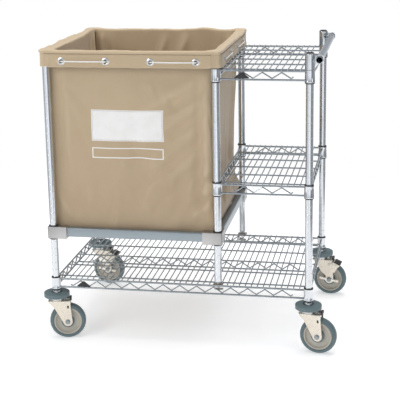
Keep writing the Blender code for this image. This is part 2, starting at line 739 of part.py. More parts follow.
def fork_outline(braked):
    """A leg's side view. The braked ones are wider above the axle."""
    axle = (TRAIL, AXLE_Z)
    outline = [(-CROWN_LEAD, CROWN_TOP), *LEADING_EDGE]
    if braked:
        outline += BRAKED_EDGE
    outline += arc(axle, FOOT_RADIUS, 150 if braked else 190, 360, 7)
    return outline + [(CROWN_TRAIL, CROWN_TOP)]


def make_fork(corner, braked):
    fork = extruded(f"caster_fork_{corner}", [fork_outline(braked)], 2 * FORK_OUTSIDE)
    fork.data.transform(UPRIGHT)
    slot = bmesh.new()
    add_box(slot, (0.2, 2 * FORK_INSIDE, 0.2), (0, 0, CROWN_BOTTOM - 0.1))
    boolean(fork, new_object("fork_slot", slot), "DIFFERENCE")
    extras = bmesh.new()
    race_top = (0, 0, CROWN_TOP + RACE_HEIGHT)
    add_rod(extras, (0, 0, CROWN_TOP - 0.002), race_top, RACE_RADIUS, 12)
    if braked:
        slope = Matrix.Rotation(FOOT_BAR_SLOPE, 3, "Y")
        for side in (-1, 1):
            root = BRAKE_PIVOT + Vector((0, side * (FORK_OUTSIDE - 0.001), 0))
            tip = BRAKE_PIVOT + Vector((0, side * (FORK_OUTSIDE + PIN_PROUD), 0))
            add_rod(extras, root, tip, PIN_RADIUS, 8)
            # The bar is sunk a little into the leg, so that it is one body with it.
            y = side * (FORK_OUTSIDE + FOOT_BAR[1] / 2 - GAP)
            size = (FOOT_BAR[0], FOOT_BAR[1] + 2 * GAP, FOOT_BAR[2])
            add_box(extras, size, (TRAIL, y, AXLE_Z), slope)
    boolean(fork, new_object("fork_extras", extras), "UNION")
    bores = bmesh.new()
    low = (0, 0, CROWN_BOTTOM - 0.01)
    add_rod(bores, low, (0, 0, CROWN_TOP + 0.01), KINGPIN_RADIUS + 0.0004, 12)
    reach = 2 * FORK_OUTSIDE
    add_rod(bores, (TRAIL, -reach, AXLE_Z), (TRAIL, reach, AXLE_Z), AXLE_RADIUS + GAP, 12)
    boolean(fork, new_object("fork_bores", bores), "DIFFERENCE")
    return place(fork, ZINC)


def make_brake(corner):
    """The lever: an arm outside each leg, and a pad across them over the tyre."""
    px, _, pz = BRAKE_PIVOT
    axle = Vector((TRAIL, 0, AXLE_Z))
    outward = Vector((math.sin(PAD_ANGLE), 0, math.cos(PAD_ANGLE)))
    along = Vector((math.cos(PAD_ANGLE), 0, -math.sin(PAD_ANGLE)))
    pad = axle + outward * PAD_OUT
    far = pad + along * (PAD_SIZE[0] / 2 - 0.001)
    near = pad - along * (PAD_SIZE[0] / 2 - 0.001)
    arm = [(far.x, far.z), (near.x, near.z)]
    arm += arc((px, pz), ARM_RADIUS, 110, 250, 6)
    arm += ARM_FOOT
    outlines = [arm, circle(PIN_RADIUS + GAP, 8, (px, pz))]
    shift = FORK_OUTSIDE + GAP + ARM_THICK / 2
    lever = extruded(f"brake_lever_{corner}", outlines, ARM_THICK)
    lever.data.transform(Matrix.Translation((0, -shift, 0)) @ UPRIGHT)
    second = extruded("brake_arm", outlines, ARM_THICK)
    second.data.transform(Matrix.Translation((0, shift, 0)) @ UPRIGHT)
    extras = bmesh.new()
    extras.from_mesh(second.data)
    bpy.data.objects.remove(second, do_unlink=True)
    add_box(extras, PAD_SIZE, pad, Matrix.Rotation(PAD_ANGLE, 3, "Y"))
    boolean(lever, new_object("brake_extras", extras), "UNION", overlapping=True)
    to_pivot = Matrix.Translation(-BRAKE_PIVOT)
    lever.data.transform(to_pivot)
    lever.modifiers[0].object.data.transform(to_pivot)
    return place(lever, ZINC)


def make_mount(corner, x, y):
    """The stem in the post, with the bearing plate and kingpin, and the bumper round it."""
    stem_radius = POST_RADIUS - POST_WALL - GAP
    shank = stem_radius + SHANK_STEP
    plate_top = BUMPER_BOTTOM - GAP
    pin_low = CROWN_BOTTOM - GAP
    nut_low = CROWN_BOTTOM - NUT_HEIGHT
    stem = [
        (0, STEM_TOP),
        (stem_radius, STEM_TOP),
        (stem_radius, POST_BOTTOM - GAP),
        (shank, POST_BOTTOM - GAP),
        (shank, plate_top),
        (PLATE_RADIUS, plate_top),
        (PLATE_RADIUS - PLATE_LIP, CROWN_TOP + RACE_HEIGHT + GAP),
        (KINGPIN_RADIUS, CROWN_TOP + RACE_HEIGHT + GAP),
        (KINGPIN_RADIUS, pin_low),
        (NUT_RADIUS, pin_low),
        (NUT_RADIUS, nut_low),
        (0, nut_low),
    ]
    mount = place(turned(f"caster_stem_{corner}", stem, 12), ZINC)
    mount.location = (x, y, 0)

    bore = shank + 2 * GAP
    face = BUMPER_RADIUS - BUMPER_CHAMFER
    ring = [
        (bore, BUMPER_TOP),
        (face, BUMPER_TOP),
        (BUMPER_RADIUS, BUMPER_TOP - BUMPER_CHAMFER),
        (BUMPER_RADIUS, BUMPER_BOTTOM + BUMPER_CHAMFER),
        (face - BUMPER_CHAMFER, BUMPER_BOTTOM),
        (bore, BUMPER_BOTTOM),
    ]
    bumper = place(turned(f"caster_bumper_{corner}", ring, 16, closed=True), BUMPER_RUBBER)
    bumper.location = (x, y, 0)


def axle_profile(half):
    """A bolt with a domed head at each side of the fork."""
    upper = [
        (0, half + HEAD_HEIGHT),
        (HEAD_RADIUS * 0.67, half + HEAD_HEIGHT * 0.84),
        (HEAD_RADIUS, half + HEAD_HEIGHT * 0.2),
        (HEAD_RADIUS, half),
        (AXLE_RADIUS, half),
    ]
    return upper + [(radius, -height) for radius, height in reversed(upper)]


def wheel_profile():
    """The core: a rim, a thin dish and a long hub."""
    hub = FORK_INSIDE - 0.0008
    rim = WHEEL_RADIUS - 0.0141
    side = [(AXLE_RADIUS + GAP, hub), (0.014, hub), (0.015, 0.006), (0.040, 0.006)]
    side += [(0.043, 0.0135), (rim, 0.0135)]
    return side + [(radius, -height) for radius, height in reversed(side)]


def tyre_profile():
    """A crowned tread and flat sides."""
    tread = WHEEL_WIDTH / 2
    shoulder = WHEEL_RADIUS - 0.0045
    inner = WHEEL_RADIUS - 0.0133
    side = [(inner, tread - 0.001), (shoulder, tread), (WHEEL_RADIUS, tread * 0.4)]
    return side + [(radius, -height) for radius, height in reversed(side)]


def make_caster(corner, x, y, angle):
    swivel = bpy.data.objects.new(f"swivel_{corner}", None)
    parts.objects.link(swivel)
    swivel.location = (x, y, 0)
    swivel.rotation_euler = (0, 0, angle)
    make_mount(corner, x, y)

    braked = corner.startswith("rear")
    fork = make_fork(corner, braked)
    for piece in [fork] + [step.object for step in fork.modifiers]:
        piece.parent = swivel

    half = FORK_OUTSIDE + GAP + (FOOT_BAR[1] if braked else 0)
    axle = place(turned(f"caster_axle_{corner}", axle_profile(half), 8), CHROME)
    wheel = turned(f"wheel_core_{corner}", wheel_profile(), 12, closed=True)
    place(wheel, CORE_PLASTIC)
    tyre = turned(f"tyre_{corner}", tyre_profile(), WHEEL_SIDES, closed=True)
    place(tyre, TYRE_RUBBER)
    at_axle = Matrix.Translation((TRAIL, 0, AXLE_Z))
    flat_down = Matrix.Rotation(math.pi / WHEEL_SIDES, 4, "Y")
    for piece, spin in ((axle, Matrix.Identity(4)), (wheel, flat_down), (tyre, flat_down)):
        piece.parent = swivel
        piece.matrix_local = at_axle @ spin @ UPRIGHT

    if braked:
        lever = make_brake(corner)
        for piece in [lever] + [step.object for step in lever.modifiers]:
            piece.parent = swivel
            piece.location = BRAKE_PIVOT


make_posts()
make_shelves()
make_badges()
make_feet()
make_lower_frame()
make_upper_frame()
make_bag()
make_lace()
make_handle()
for corner_name, (post_x, post_y, heading) in SWIVELS.items():
    make_caster(corner_name, post_x, post_y, heading)
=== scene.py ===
"""Linen trolley: the looks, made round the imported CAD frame.

Metres, +Z up, +X to the trolley's right, -Y to its front. Places come from the frame's
boxes and joints. Each make_ function makes one kind of piece.
"""

import json
import math
import random

import bmesh
import bpy
from mathutils import Matrix, Vector, noise
from mathutils.bvhtree import BVHTree


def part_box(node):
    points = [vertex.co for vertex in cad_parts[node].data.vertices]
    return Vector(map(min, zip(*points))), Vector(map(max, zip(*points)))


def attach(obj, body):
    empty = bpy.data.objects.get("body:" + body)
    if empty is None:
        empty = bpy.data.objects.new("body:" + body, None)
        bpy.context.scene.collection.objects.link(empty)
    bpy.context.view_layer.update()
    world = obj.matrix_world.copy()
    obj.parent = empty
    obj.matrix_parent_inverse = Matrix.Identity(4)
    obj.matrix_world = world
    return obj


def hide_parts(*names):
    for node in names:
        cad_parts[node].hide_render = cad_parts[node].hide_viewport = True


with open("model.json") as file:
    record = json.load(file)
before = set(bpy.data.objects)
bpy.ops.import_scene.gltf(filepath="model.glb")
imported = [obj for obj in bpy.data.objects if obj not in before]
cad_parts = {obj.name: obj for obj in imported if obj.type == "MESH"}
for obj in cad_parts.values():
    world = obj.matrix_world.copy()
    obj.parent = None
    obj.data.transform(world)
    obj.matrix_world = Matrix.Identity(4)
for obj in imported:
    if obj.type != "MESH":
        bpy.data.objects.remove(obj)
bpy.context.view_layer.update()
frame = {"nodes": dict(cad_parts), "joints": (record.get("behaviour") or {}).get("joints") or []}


# Places, from the frame.


def middle(node):
    low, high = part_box(node)
    return (low + high) / 2


LEFT_X = middle("post_front_left").x
MIDDLE_X = middle("post_front_middle").x
RIGHT_X = middle("post_front_right").x
FRONT_Y = middle("post_front_left").y
REAR_Y = middle("post_rear_left").y
COLUMNS = {"left": LEFT_X, "middle": MIDDLE_X, "right": RIGHT_X}
ROWS = {"front": FRONT_Y, "rear": REAR_Y}
POST_RADIUS = RIGHT_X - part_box("post_front_right")[0].x
POST_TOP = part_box("post_front_left")[1].z
BAG_MIDDLE = Vector(((LEFT_X + MIDDLE_X) / 2, (FRONT_Y + REAR_Y) / 2, 0))
BAG_BAY = MIDDLE_X - LEFT_X
POST_SPAN_Y = REAR_Y - FRONT_Y
CORNERS = ("front_left", "front_right", "rear_right", "rear_left")
JOINTS = {joint["name"]: joint for joint in frame["joints"]}
ALONG_X = Vector((1, 0, 0))
ALONG_Y = Vector((0, 1, 0))
ALONG_Z = Vector((0, 0, 1))


# Making meshes.


def pairs_of(rings, closed):
    """Each ring with the next one, and the last with the first if they close."""
    return list(zip(rings, rings[1:])) + ([(rings[-1], rings[0])] if closed else [])


def skin(bm, rings, closed=False):
    """Joins rings of equal counts with faces."""
    for first, second in pairs_of(rings, closed):
        for i in range(len(first)):
            j = (i + 1) % len(first)
            bm.faces.new((first[i], first[j], second[j], second[i]))


def lathe(bm, profile, steps, at=Matrix.Identity(4), closed=False):
    """Adds a turned shape about Z. A point of no radius closes its end."""
    rings = []
    for radius, height in profile:
        count = 1 if radius < 1e-6 else steps
        turns = [math.tau * i / steps for i in range(count)]
        ring = [Vector((radius * math.cos(a), radius * math.sin(a), height)) for a in turns]
        rings.append([bm.verts.new(at @ point) for point in ring])
    for first, second in pairs_of(rings, closed):
        for i in range(steps):
            j = (i + 1) % steps
            corners = [first[i % len(first)], first[j % len(first)]]
            corners += [second[j % len(second)], second[i % len(second)]]
            bm.faces.new(list(dict.fromkeys(corners)))


def rounded(points, radius, steps=4, closed=False):
    """A line of points with its corners turned into arcs."""
    points = [Vector(point) for point in points]
    line = []
    for i, corner in enumerate(points):
        if not closed and i in (0, len(points) - 1):
            line.append(corner)
            continue
        before = points[i - 1] - corner
        after = points[(i + 1) % len(points)] - corner
        half = before.angle(after) / 2
        if half > math.radians(89):
            line.append(corner)
            continue
        room = 0.49 * min(before.length, after.length)
        cut = min(radius / math.tan(half), room)
        bisector = (before.normalized() + after.normalized()).normalized()
        hub = corner + bisector * (cut / math.cos(half))
        start = corner + before.normalized() * cut - hub
        end = corner + after.normalized() * cut - hub
        turns = [start.slerp(end, k / steps).normalized() for k in range(steps + 1)]
        line += [hub + turn * start.length for turn in turns]
    return line


def sweep(bm, points, radius, sides=10, closed=False):
    """Adds a round wire along a line of points."""
    points = [Vector(point) for point in points]
    count = len(points)
    rings = []
    normal = None
    for i, point in enumerate(points):
        before = points[i - 1] if closed or i else point
        after = points[(i + 1) % count] if closed or i < count - 1 else point
        along = (after - before).normalized()
        if normal is None:
            normal = along.orthogonal()
        normal = (normal - along * normal.dot(along)).normalized()
        across = along.cross(normal)
        turns = [math.tau * k / sides for k in range(sides)]
        ring = [point + (normal * math.cos(a) + across * math.sin(a)) * radius for a in turns]
        rings.append([bm.verts.new(place) for place in ring])
    if not closed:
        bm.faces.new(rings[0][::-1])
        bm.faces.new(rings[-1])
    skin(bm, rings, closed)


def block(bm, size, centre, bevel, steps=2, turn=None):
    """Adds a box with rounded edges."""
    part = bmesh.new()
    bmesh.ops.create_cube(part, size=1, matrix=Matrix.Diagonal((*size, 1)))
    bmesh.ops.bevel(
        part, geom=part.edges[:], offset=bevel, segments=steps, profile=0.5, affect="EDGES"
    )
    spin = turn.to_4x4() if turn else Matrix.Identity(4)
    merge(bm, part, Matrix.Translation(centre) @ spin)


def prism(bm, outline, low, high, at=Matrix.Identity(4), bevel=0.0, steps=2):
    """Adds a plate in XY between two heights, with its outline's edges rounded."""
    part = bmesh.new()
    floor = [part.verts.new((x, y, low)) for x, y in outline]
    face = part.faces.new(floor)
    made = bmesh.ops.extrude_face_region(part, geom=[face])
    lifted = [item for item in made["geom"] if isinstance(item, bmesh.types.BMVert)]
    bmesh.ops.translate(part, verts=lifted, vec=(0, 0, high - low))
    if bevel:
        rims = [edge for edge in part.edges if abs(edge.verts[0].co.z - edge.verts[1].co.z) < 1e-7]
        bmesh.ops.bevel(part, geom=rims, offset=bevel, segments=steps, profile=0.5, affect="EDGES")
    merge(bm, part, at)


def merge(bm, part, at):
    """Moves one bmesh's faces into another."""
    bmesh.ops.transform(part, matrix=at, verts=part.verts)
    mesh = bpy.data.meshes.new("part")
    part.to_mesh(mesh)
    part.free()
    bm.from_mesh(mesh)
    bpy.data.meshes.remove(mesh)


def piece(name, bm, slot, body="root", stands_for=(), sharp=35, finish=None):
    """Makes a bmesh a piece of the trolley, in its slot's finish or in another one."""
    bmesh.ops.recalc_face_normals(bm, faces=bm.faces)
    mesh = bpy.data.meshes.new(name)
    bm.to_mesh(mesh)
    bm.free()
    mesh.materials.append(finish or FINISHES[slot])
    mesh.shade_smooth()
    mesh.set_sharp_from_angle(angle=math.radians(sharp))
    obj = bpy.data.objects.new(name, mesh)
    bpy.context.scene.collection.objects.link(obj)
    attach(obj, body)
    if stands_for:
        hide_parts(*stands_for)
    return obj


def turned(name, profile, steps, at, slot, stands_for=(), closed=False, **settings):
    """Makes one turned shape a piece."""
    bm = bmesh.new()
    lathe(bm, profile, steps, at, closed)
    return piece(name, bm, slot, stands_for=stands_for, **settings)


def moved(bm, at):
    """Puts a bmesh at its place for good."""
    bmesh.ops.transform(bm, matrix=at, verts=bm.verts)
    return bm


def upright(x, y, z=0.0):
    """A place for a shape that stands along Z."""
    return Matrix.Translation((x, y, z))


def mirrored(profile, share=1.0):
    """A profile's other half, across its middle plane."""
    return [(radius, -height * share) for radius, height in reversed(profile)]


def cut(obj, bm):
    """Cuts a closed bmesh out of a piece for good."""
    bmesh.ops.recalc_face_normals(bm, faces=bm.faces)
    mesh = bpy.data.meshes.new("cutter")
    bm.to_mesh(mesh)
    bm.free()
    cutter = bpy.data.objects.new("cutter", mesh)
    bpy.context.scene.collection.objects.link(cutter)
    step = obj.modifiers.new("Cut", "BOOLEAN")
    step.object = cutter
    step.solver = "EXACT"
    bake(obj)
    bpy.data.objects.remove(cutter, do_unlink=True)
    obj.data.shade_smooth()
    obj.data.set_sharp_from_angle(angle=math.radians(35))


def bake(obj):
    """Applies an object's modifiers."""
    bpy.context.view_layer.update()
    graph = bpy.context.evaluated_depsgraph_get()
    mesh = bpy.data.meshes.new_from_object(obj.evaluated_get(graph))
    obj.modifiers.clear()
    old = obj.data
    obj.data = mesh
    bpy.data.meshes.remove(old)


def arc(centre, radius, start, end, count):
    """Points of an arc in a plane, from one angle to the other, in degrees."""
    angles = [math.radians(start + (end - start) * i / (count - 1)) for i in range(count)]
    return [(centre[0] + radius * math.cos(a), centre[1] + radius * math.sin(a)) for a in angles]


UPRIGHT = Matrix(((1, 0, 0), (0, 0, -1), (0, 1, 0))).to_4x4()  # a plate's Y to Z


# Finishes.


class Finish:
    """A Principled material whose nodes are added one call at a time."""

    def __init__(self, name, colour, roughness, metallic=0.0):
        self.material = bpy.data.materials.new(name)
        self.material.use_nodes = True
        self.tree = self.material.node_tree
        self.shader = self.tree.nodes["Principled BSDF"]
        self.shader.inputs["Base Color"].default_value = (*colour, 1)
        self.shader.inputs["Roughness"].default_value = roughness
        self.shader.inputs["Metallic"].default_value = metallic
        self.material.diffuse_color = (*colour, 1)
        self.place = self.node("ShaderNodeTexCoord").outputs["Object"]

    def node(self, kind, **settings):
        made = self.tree.nodes.new(kind)
        for key, value in settings.items():
            setattr(made, key, value)
        return made

    def feed(self, socket, value):
        """Links another node's output to a socket, or sets its plain value."""
        if isinstance(value, bpy.types.NodeSocket):
            self.tree.links.new(value, socket)
        else:
            socket.default_value = value

    def fill(self, node, **values):
        for key, value in values.items():
            self.feed(node.inputs[key.replace("_", " ")], value)
        return node

    def stretched(self, x, y, z):
        """Object coordinates scaled along each axis."""
        scaled = self.fill(self.node("ShaderNodeMapping"), Vector=self.place, Scale=(x, y, z))
        return scaled.outputs["Vector"]

    def noise(self, scale, detail=3.0, roughness=0.5, where=None):
        made = self.fill(
            self.node("ShaderNodeTexNoise"),
            Vector=where or self.place,
            Scale=scale,
            Detail=detail,
            Roughness=roughness,
        )
        return made.outputs["Fac"]

    def wave(self, scale, direction, distortion=0.0, where=None):
        made = self.node("ShaderNodeTexWave", wave_type="BANDS", bands_direction=direction)
        self.fill(made, Vector=where or self.place, Scale=scale, Distortion=distortion)
        return made.outputs["Fac"]

    def span(self, value, low, high, from_low=0.3, from_high=0.7):
        """Maps a value to a range."""
        made = self.fill(
            self.node("ShaderNodeMapRange"),
            Value=value,
            From_Min=from_low,
            From_Max=from_high,
            To_Min=low,
            To_Max=high,
        )
        return made.outputs["Result"]

    def sums(self, operation, first, second):
        made = self.node("ShaderNodeMath", operation=operation)
        self.feed(made.inputs[0], first)
        self.feed(made.inputs[1], second)
        return made.outputs[0]

    def mix(self, factor, first, second):
        """A colour between two."""
        made = self.node("ShaderNodeMix", data_type="RGBA")
        for name, value in (("Factor_Float", factor), ("A_Color", first), ("B_Color", second)):
            socket = next(s for s in made.inputs if s.identifier == name)
            self.feed(socket, (*value, 1) if isinstance(value, tuple) else value)
        return next(s for s in made.outputs if s.identifier == "Result_Color")

    def colour(self, socket):
        self.tree.links.new(socket, self.shader.inputs["Base Color"])

    def roughness(self, socket):
        self.tree.links.new(socket, self.shader.inputs["Roughness"])

    def bump(self, height, distance, strength=1.0):
        """Adds a bump, on top of the last one."""
        made = self.node("ShaderNodeBump")
        self.fill(made, Strength=strength, Distance=distance, Height=height)
        last = self.shader.inputs["Normal"]
        if last.is_linked:
            self.tree.links.new(last.links[0].from_socket, made.inputs["Normal"])
        self.tree.links.new(made.outputs["Normal"], last)

    def worn_edges(self, low, high):
        """How sharply the surface bends outwards, from 0 to 1."""
        point = self.node("ShaderNodeNewGeometry").outputs["Pointiness"]
        return self.span(point, 0.0, 1.0, low, high)


def mottled(name, looks, clouds, dark, light, gloss, span, bumps, worn=None, specular=None):
    """A finish with a cloudy colour, an uneven gloss and a fine grain.

    looks is its mean colour, roughness and metallic. clouds, gloss and each bump start with
    their noise's scale and detail. worn is its paler edges' bend and colour.
    """
    f = Finish(name, *looks)
    shade = f.mix(f.noise(*clouds), dark, light)
    if worn:
        shade = f.mix(f.worn_edges(*worn[:2]), shade, worn[2])
    f.colour(shade)
    f.roughness(f.span(f.noise(*gloss), *span))
    for scale, detail, distance, strength in bumps:
        f.bump(f.noise(scale, detail), distance, strength)
    if specular is not None:
        f.shader.inputs["Specular IOR Level"].default_value = specular
    return f.material


def rubber(name, dark, light, roughness):
    """Grey-green rubber with a dusty bloom and a fine moulded grain."""
    span = (roughness - 0.08, roughness + 0.10)
    grain = [(1100, 2, 0.00007, 0.5)]
    looks = (light, roughness, 0.0)
    return mottled(name, looks, (45, 5, 0.6), dark, light, (300, 3), span, grain, specular=0.4)


def frame_steel():
    """Blue-grey satin steel, brushed along its length."""
    f = Finish("frame_steel", (0.31, 0.355, 0.38), 0.38, 0.75)
    lines_x = f.noise(70, 4, where=f.stretched(0.4, 22, 22))
    lines_y = f.noise(70, 4, where=f.stretched(22, 0.4, 22))
    lines = f.sums("MULTIPLY", f.sums("ADD", lines_x, lines_y), 0.5)
    f.colour(f.mix(lines, (0.28, 0.325, 0.35), (0.35, 0.395, 0.42)))
    f.roughness(f.span(lines, 0.26, 0.40))
    f.bump(lines, 0.00003, 0.4)
    return f.material


def bag_cloth():
    """Tan coated duck: a plain weave, uneven dye, paler fold crests, and painted shade that darkens it
    toward its foot.
    """
    f = Finish("bag_cloth", (0.50, 0.38, 0.24), 0.78, 0.0)
    warp = f.wave(190, "DIAGONAL", 0.6, f.stretched(1, 1, 0))
    weft = f.wave(330, "Z", 0.6)
    weave = f.sums("MULTIPLY", f.sums("ADD", warp, weft), 0.5)
    dye = f.mix(f.noise(9, 5, 0.6), (0.465, 0.360, 0.225), (0.550, 0.430, 0.285))
    thread = f.mix(f.span(weave, 0.0, 1.0), (0.43, 0.325, 0.205), (0.57, 0.445, 0.30))
    woven = f.mix(0.35, dye, thread)
    # Painted shade: the colour darkens toward the bag's foot, standing in for the lower walls getting
    # less light.
    height = f.fill(f.node("ShaderNodeSeparateXYZ"), Vector=f.place).outputs["Z"]
    cloth = f.mix(f.span(height, 0.42, 0.0, 0.38, 0.84), woven, (0.36, 0.255, 0.165))
    f.colour(f.mix(f.worn_edges(0.505, 0.56), cloth, (0.66, 0.54, 0.38)))
    f.roughness(f.span(f.noise(60, 3), 0.68, 0.86))
    f.bump(weave, 0.00018, 0.35)
    f.bump(f.noise(75, 4), 0.0010, 0.30)
    f.shader.inputs["Sheen Weight"].default_value = 0.25
    f.shader.inputs["Sheen Roughness"].default_value = 0.45
    return f.material


def plaited(name, looks, scale, distortion, dark, light, span, bump):
    """Twisted or plaited thread: fine diagonal bands."""
    f = Finish(name, *looks)
    plait = f.wave(scale, "DIAGONAL", distortion)
    f.colour(f.mix(plait, dark, light))
    f.roughness(f.span(f.noise(300, 2), *span))
    f.bump(plait, *bump)
    return f.material


def label_cloth():
    """White woven tape, a little uneven."""
    f = Finish("label_cloth", (0.84, 0.83, 0.80), 0.7, 0.0)
    weave = f.sums("ADD", f.wave(420, "X", 0.5), f.wave(420, "Z", 0.5))
    f.colour(f.mix(f.noise(30, 4), (0.80, 0.79, 0.76), (0.90, 0.895, 0.88)))
    f.roughness(f.span(f.noise(200, 2), 0.6, 0.8))
    f.bump(weave, 0.00010, 0.3)
    return f.material


FINISHES = {
    # Bright plate: cloudy polish marks and faint drawing lines.
    "chrome": mottled(
        "chrome", ((0.67, 0.69, 0.715), 0.12, 1.0),
        (38, 4), (0.61, 0.635, 0.66), (0.73, 0.75, 0.77),
        (160, 3), (0.08, 0.20), [(420, 2, 0.00004, 0.5), (30, 2, 0.0003, 0.20)],
    ),
    # Zinc castings: a fine grain with brighter worn edges.
    "satin_casting": mottled(
        "satin_casting", ((0.34, 0.335, 0.33), 0.40, 0.9),
        (60, 4), (0.29, 0.285, 0.28), (0.38, 0.375, 0.37),
        (900, 3), (0.30, 0.48), [(900, 3, 0.00008, 0.6)],
        worn=(0.52, 0.60, (0.52, 0.51, 0.50)),
    ),
    "frame_steel": frame_steel(),
    # Warm yellow-passivated zinc: mottled, paler at its edges.
    "zinc_plate": mottled(
        "zinc_plate", ((0.74, 0.68, 0.58), 0.24, 0.78),
        (55, 5, 0.6), (0.70, 0.635, 0.53), (0.79, 0.735, 0.64),
        (240, 3), (0.18, 0.32), [(700, 2, 0.00003, 0.4)],
        worn=(0.53, 0.62, (0.90, 0.87, 0.80)),
    ),
    "bumper_rubber": rubber("bumper_rubber", (0.120, 0.170, 0.182), (0.160, 0.215, 0.228), 0.48),
    "tyre_rubber": rubber("tyre_rubber", (0.098, 0.145, 0.156), (0.140, 0.195, 0.206), 0.42),
    # Moulded warm-grey nylon with faint flow marks.
    "wheel_plastic": mottled(
        "wheel_plastic", ((0.50, 0.47, 0.40), 0.45, 0.0),
        (30, 4), (0.44, 0.415, 0.355), (0.56, 0.53, 0.46),
        (220, 3), (0.36, 0.55), [(800, 2, 0.00006, 0.4)],
    ),
    # Black nylon with a fine spark-eroded texture.
    "black_plastic": mottled(
        "black_plastic", ((0.018, 0.019, 0.020), 0.42, 0.0),
        (70, 3), (0.012, 0.013, 0.014), (0.030, 0.031, 0.033),
        (500, 2), (0.34, 0.55), [(1200, 2, 0.00006, 0.5)],
    ),
    "bag_cloth": bag_cloth(),
    # Braided white cord.
    "white_cord": plaited(
        "white_cord", ((0.80, 0.79, 0.74), 0.75, 0.0),
        420, 1.0, (0.68, 0.665, 0.62), (0.88, 0.87, 0.83), (0.65, 0.85), (0.0003, 0.5),
    ),
}

# The welded wires' chrome, painted darker and greyer: painted shade standing in for the dim room they
# mirror.
SHADED_WIRE_CHROME = mottled(
    "wire_chrome_painted_shade", ((0.37, 0.405, 0.43), 0.24, 0.95),
    (50, 4), (0.30, 0.335, 0.36), (0.44, 0.475, 0.495),
    (200, 3), (0.22, 0.36), [(500, 2, 0.00004, 0.5)],
)
LABEL = label_cloth()
# Grommets: bright nickel, lightly tarnished.
NICKEL = mottled(
    "nickel", ((0.62, 0.64, 0.65), 0.26, 0.95),
    (180, 4), (0.54, 0.56, 0.57), (0.70, 0.72, 0.73),
    (400, 3), (0.16, 0.34), [(900, 2, 0.00004, 0.5)],
)
# Brown sewing thread with a faint twist.
THREAD = plaited(
    "thread", ((0.20, 0.15, 0.09), 0.7, 0.0),
    900, 0.5, (0.14, 0.10, 0.06), (0.26, 0.20, 0.13), (0.6, 0.8), (0.0001, 0.5),
)
# Grey-brown phosphated steel.
CATCH = mottled(
    "catch_steel", ((0.30, 0.285, 0.26), 0.45, 0.5),
    (120, 4), (0.22, 0.21, 0.19), (0.38, 0.365, 0.335),
    (300, 3), (0.36, 0.55), [(900, 2, 0.00006, 0.5)],
)


# Posts.

GROOVE_PITCH = 0.0254
GROOVE_HALF = 0.0008
GROOVE_DEPTH = 0.00025
POST_WALL = 0.0016
POST_EDGE = 0.0005
CAP_SEAT = 0.0003
CAP_EDGE = 0.0012


def make_posts():
    """Round tubes with a shallow groove at each inch, and domed caps."""
    for row, y in ROWS.items():
        for side, x in COLUMNS.items():
            name = f"post_{row}_{side}"
            low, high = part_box(name)
            inside = POST_RADIUS - POST_WALL
            profile = [(inside, low.z), (POST_RADIUS - POST_EDGE, low.z)]
            profile += [(POST_RADIUS, low.z + POST_EDGE)]
            first = math.ceil((low.z + 2 * GROOVE_HALF) / GROOVE_PITCH)
            last = math.floor((high.z - 2 * GROOVE_HALF) / GROOVE_PITCH)
            for i in range(first, last + 1):
                z = i * GROOVE_PITCH
                profile += [(POST_RADIUS, z - GROOVE_HALF)]
                profile += [(POST_RADIUS - GROOVE_DEPTH, z - GROOVE_HALF * 0.4)]
                profile += [(POST_RADIUS - GROOVE_DEPTH, z + GROOVE_HALF * 0.4)]
                profile += [(POST_RADIUS, z + GROOVE_HALF)]
            profile += [(POST_RADIUS, high.z - POST_EDGE), (POST_RADIUS - POST_EDGE, high.z)]
            profile += [(inside, high.z)]
            turned(f"{name}_tube", profile, 40, upright(x, y), "chrome", [name], True, sharp=14)

            cap = f"post_cap_{row}_{side}"
            low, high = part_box(cap)
            rim = POST_RADIUS - 0.0006
            seat = POST_TOP + CAP_SEAT
            dome = [(0, low.z), (inside - 0.0006, low.z), (inside - 0.0003, seat), (rim, seat)]
            dome += arc((rim - CAP_EDGE, seat + CAP_EDGE / 2), CAP_EDGE, 0, 60, 4)
            dome += [(rim * 0.55, high.z - 0.0004), (0, high.z)]
            turned(f"{cap}_dome", dome, 32, upright(x, y), "black_plastic", [cap])


# Wire shelves.

TRUSS_HALF = 0.0145
EDGE_WIRE = 0.0032
SUPPORT_WIRE = 0.0026
DECK_WIRE = 0.0019
TRUSS_WIRE = 0.0022
DECK_RISE = 0.0016
DECK_SINK = 0.0012
DECK_PITCH = 0.0204
DECK_CLEAR = 0.028
TRUSS_PERIOD = 0.059
TRUSS_TICK = 0.006
TRUSS_BEND = 0.0045
COLLAR_RADIUS = 0.016
COLLAR_HALF = 0.0205


def zigzag(bm, start, along, span, z_high, z_low):
    """The bent wire of one truss: it starts and ends at the lower wire, with short ticks."""
    clear = EDGE_WIRE + TRUSS_WIRE - 0.0006
    top = Vector((0, 0, z_high - clear))
    foot = Vector((0, 0, z_low + clear))
    bends = 2 * max(1, round((span - 2 * TRUSS_PERIOD) / TRUSS_PERIOD))
    run = (span - 2 * TRUSS_PERIOD) / bends
    tick = Vector((0, 0, TRUSS_TICK))
    points = [start + along * (TRUSS_PERIOD - TRUSS_TICK) + foot + tick]
    for i in range(bends + 1):
        points.append(start + along * (TRUSS_PERIOD + run * i) + (top if i % 2 else foot))
    points.append(start + along * (span - TRUSS_PERIOD + TRUSS_TICK) + foot + tick)
    sweep(bm, rounded(points, TRUSS_BEND), TRUSS_WIRE, 8)


def collar(bm, x, y, level):
    """A tapered collar with rolled ends."""
    inner = POST_RADIUS + 0.0008
    low, high = level - COLLAR_HALF, level + COLLAR_HALF
    foot = [(0.0006, 0.0), (0.0012, 0.0010), (0.0011, 0.0036), (0.0006, 0.0050)]
    head = [(0.0001, 0.0050), (0.0005, 0.0036), (0.0004, 0.0008), (-0.0004, 0.0)]
    profile = [(inner, low)] + [(COLLAR_RADIUS + out, low + up) for out, up in foot]
    profile += [(COLLAR_RADIUS + out, high - down) for out, down in head] + [(inner, high)]
    lathe(bm, profile, 40, upright(x, y), closed=True)


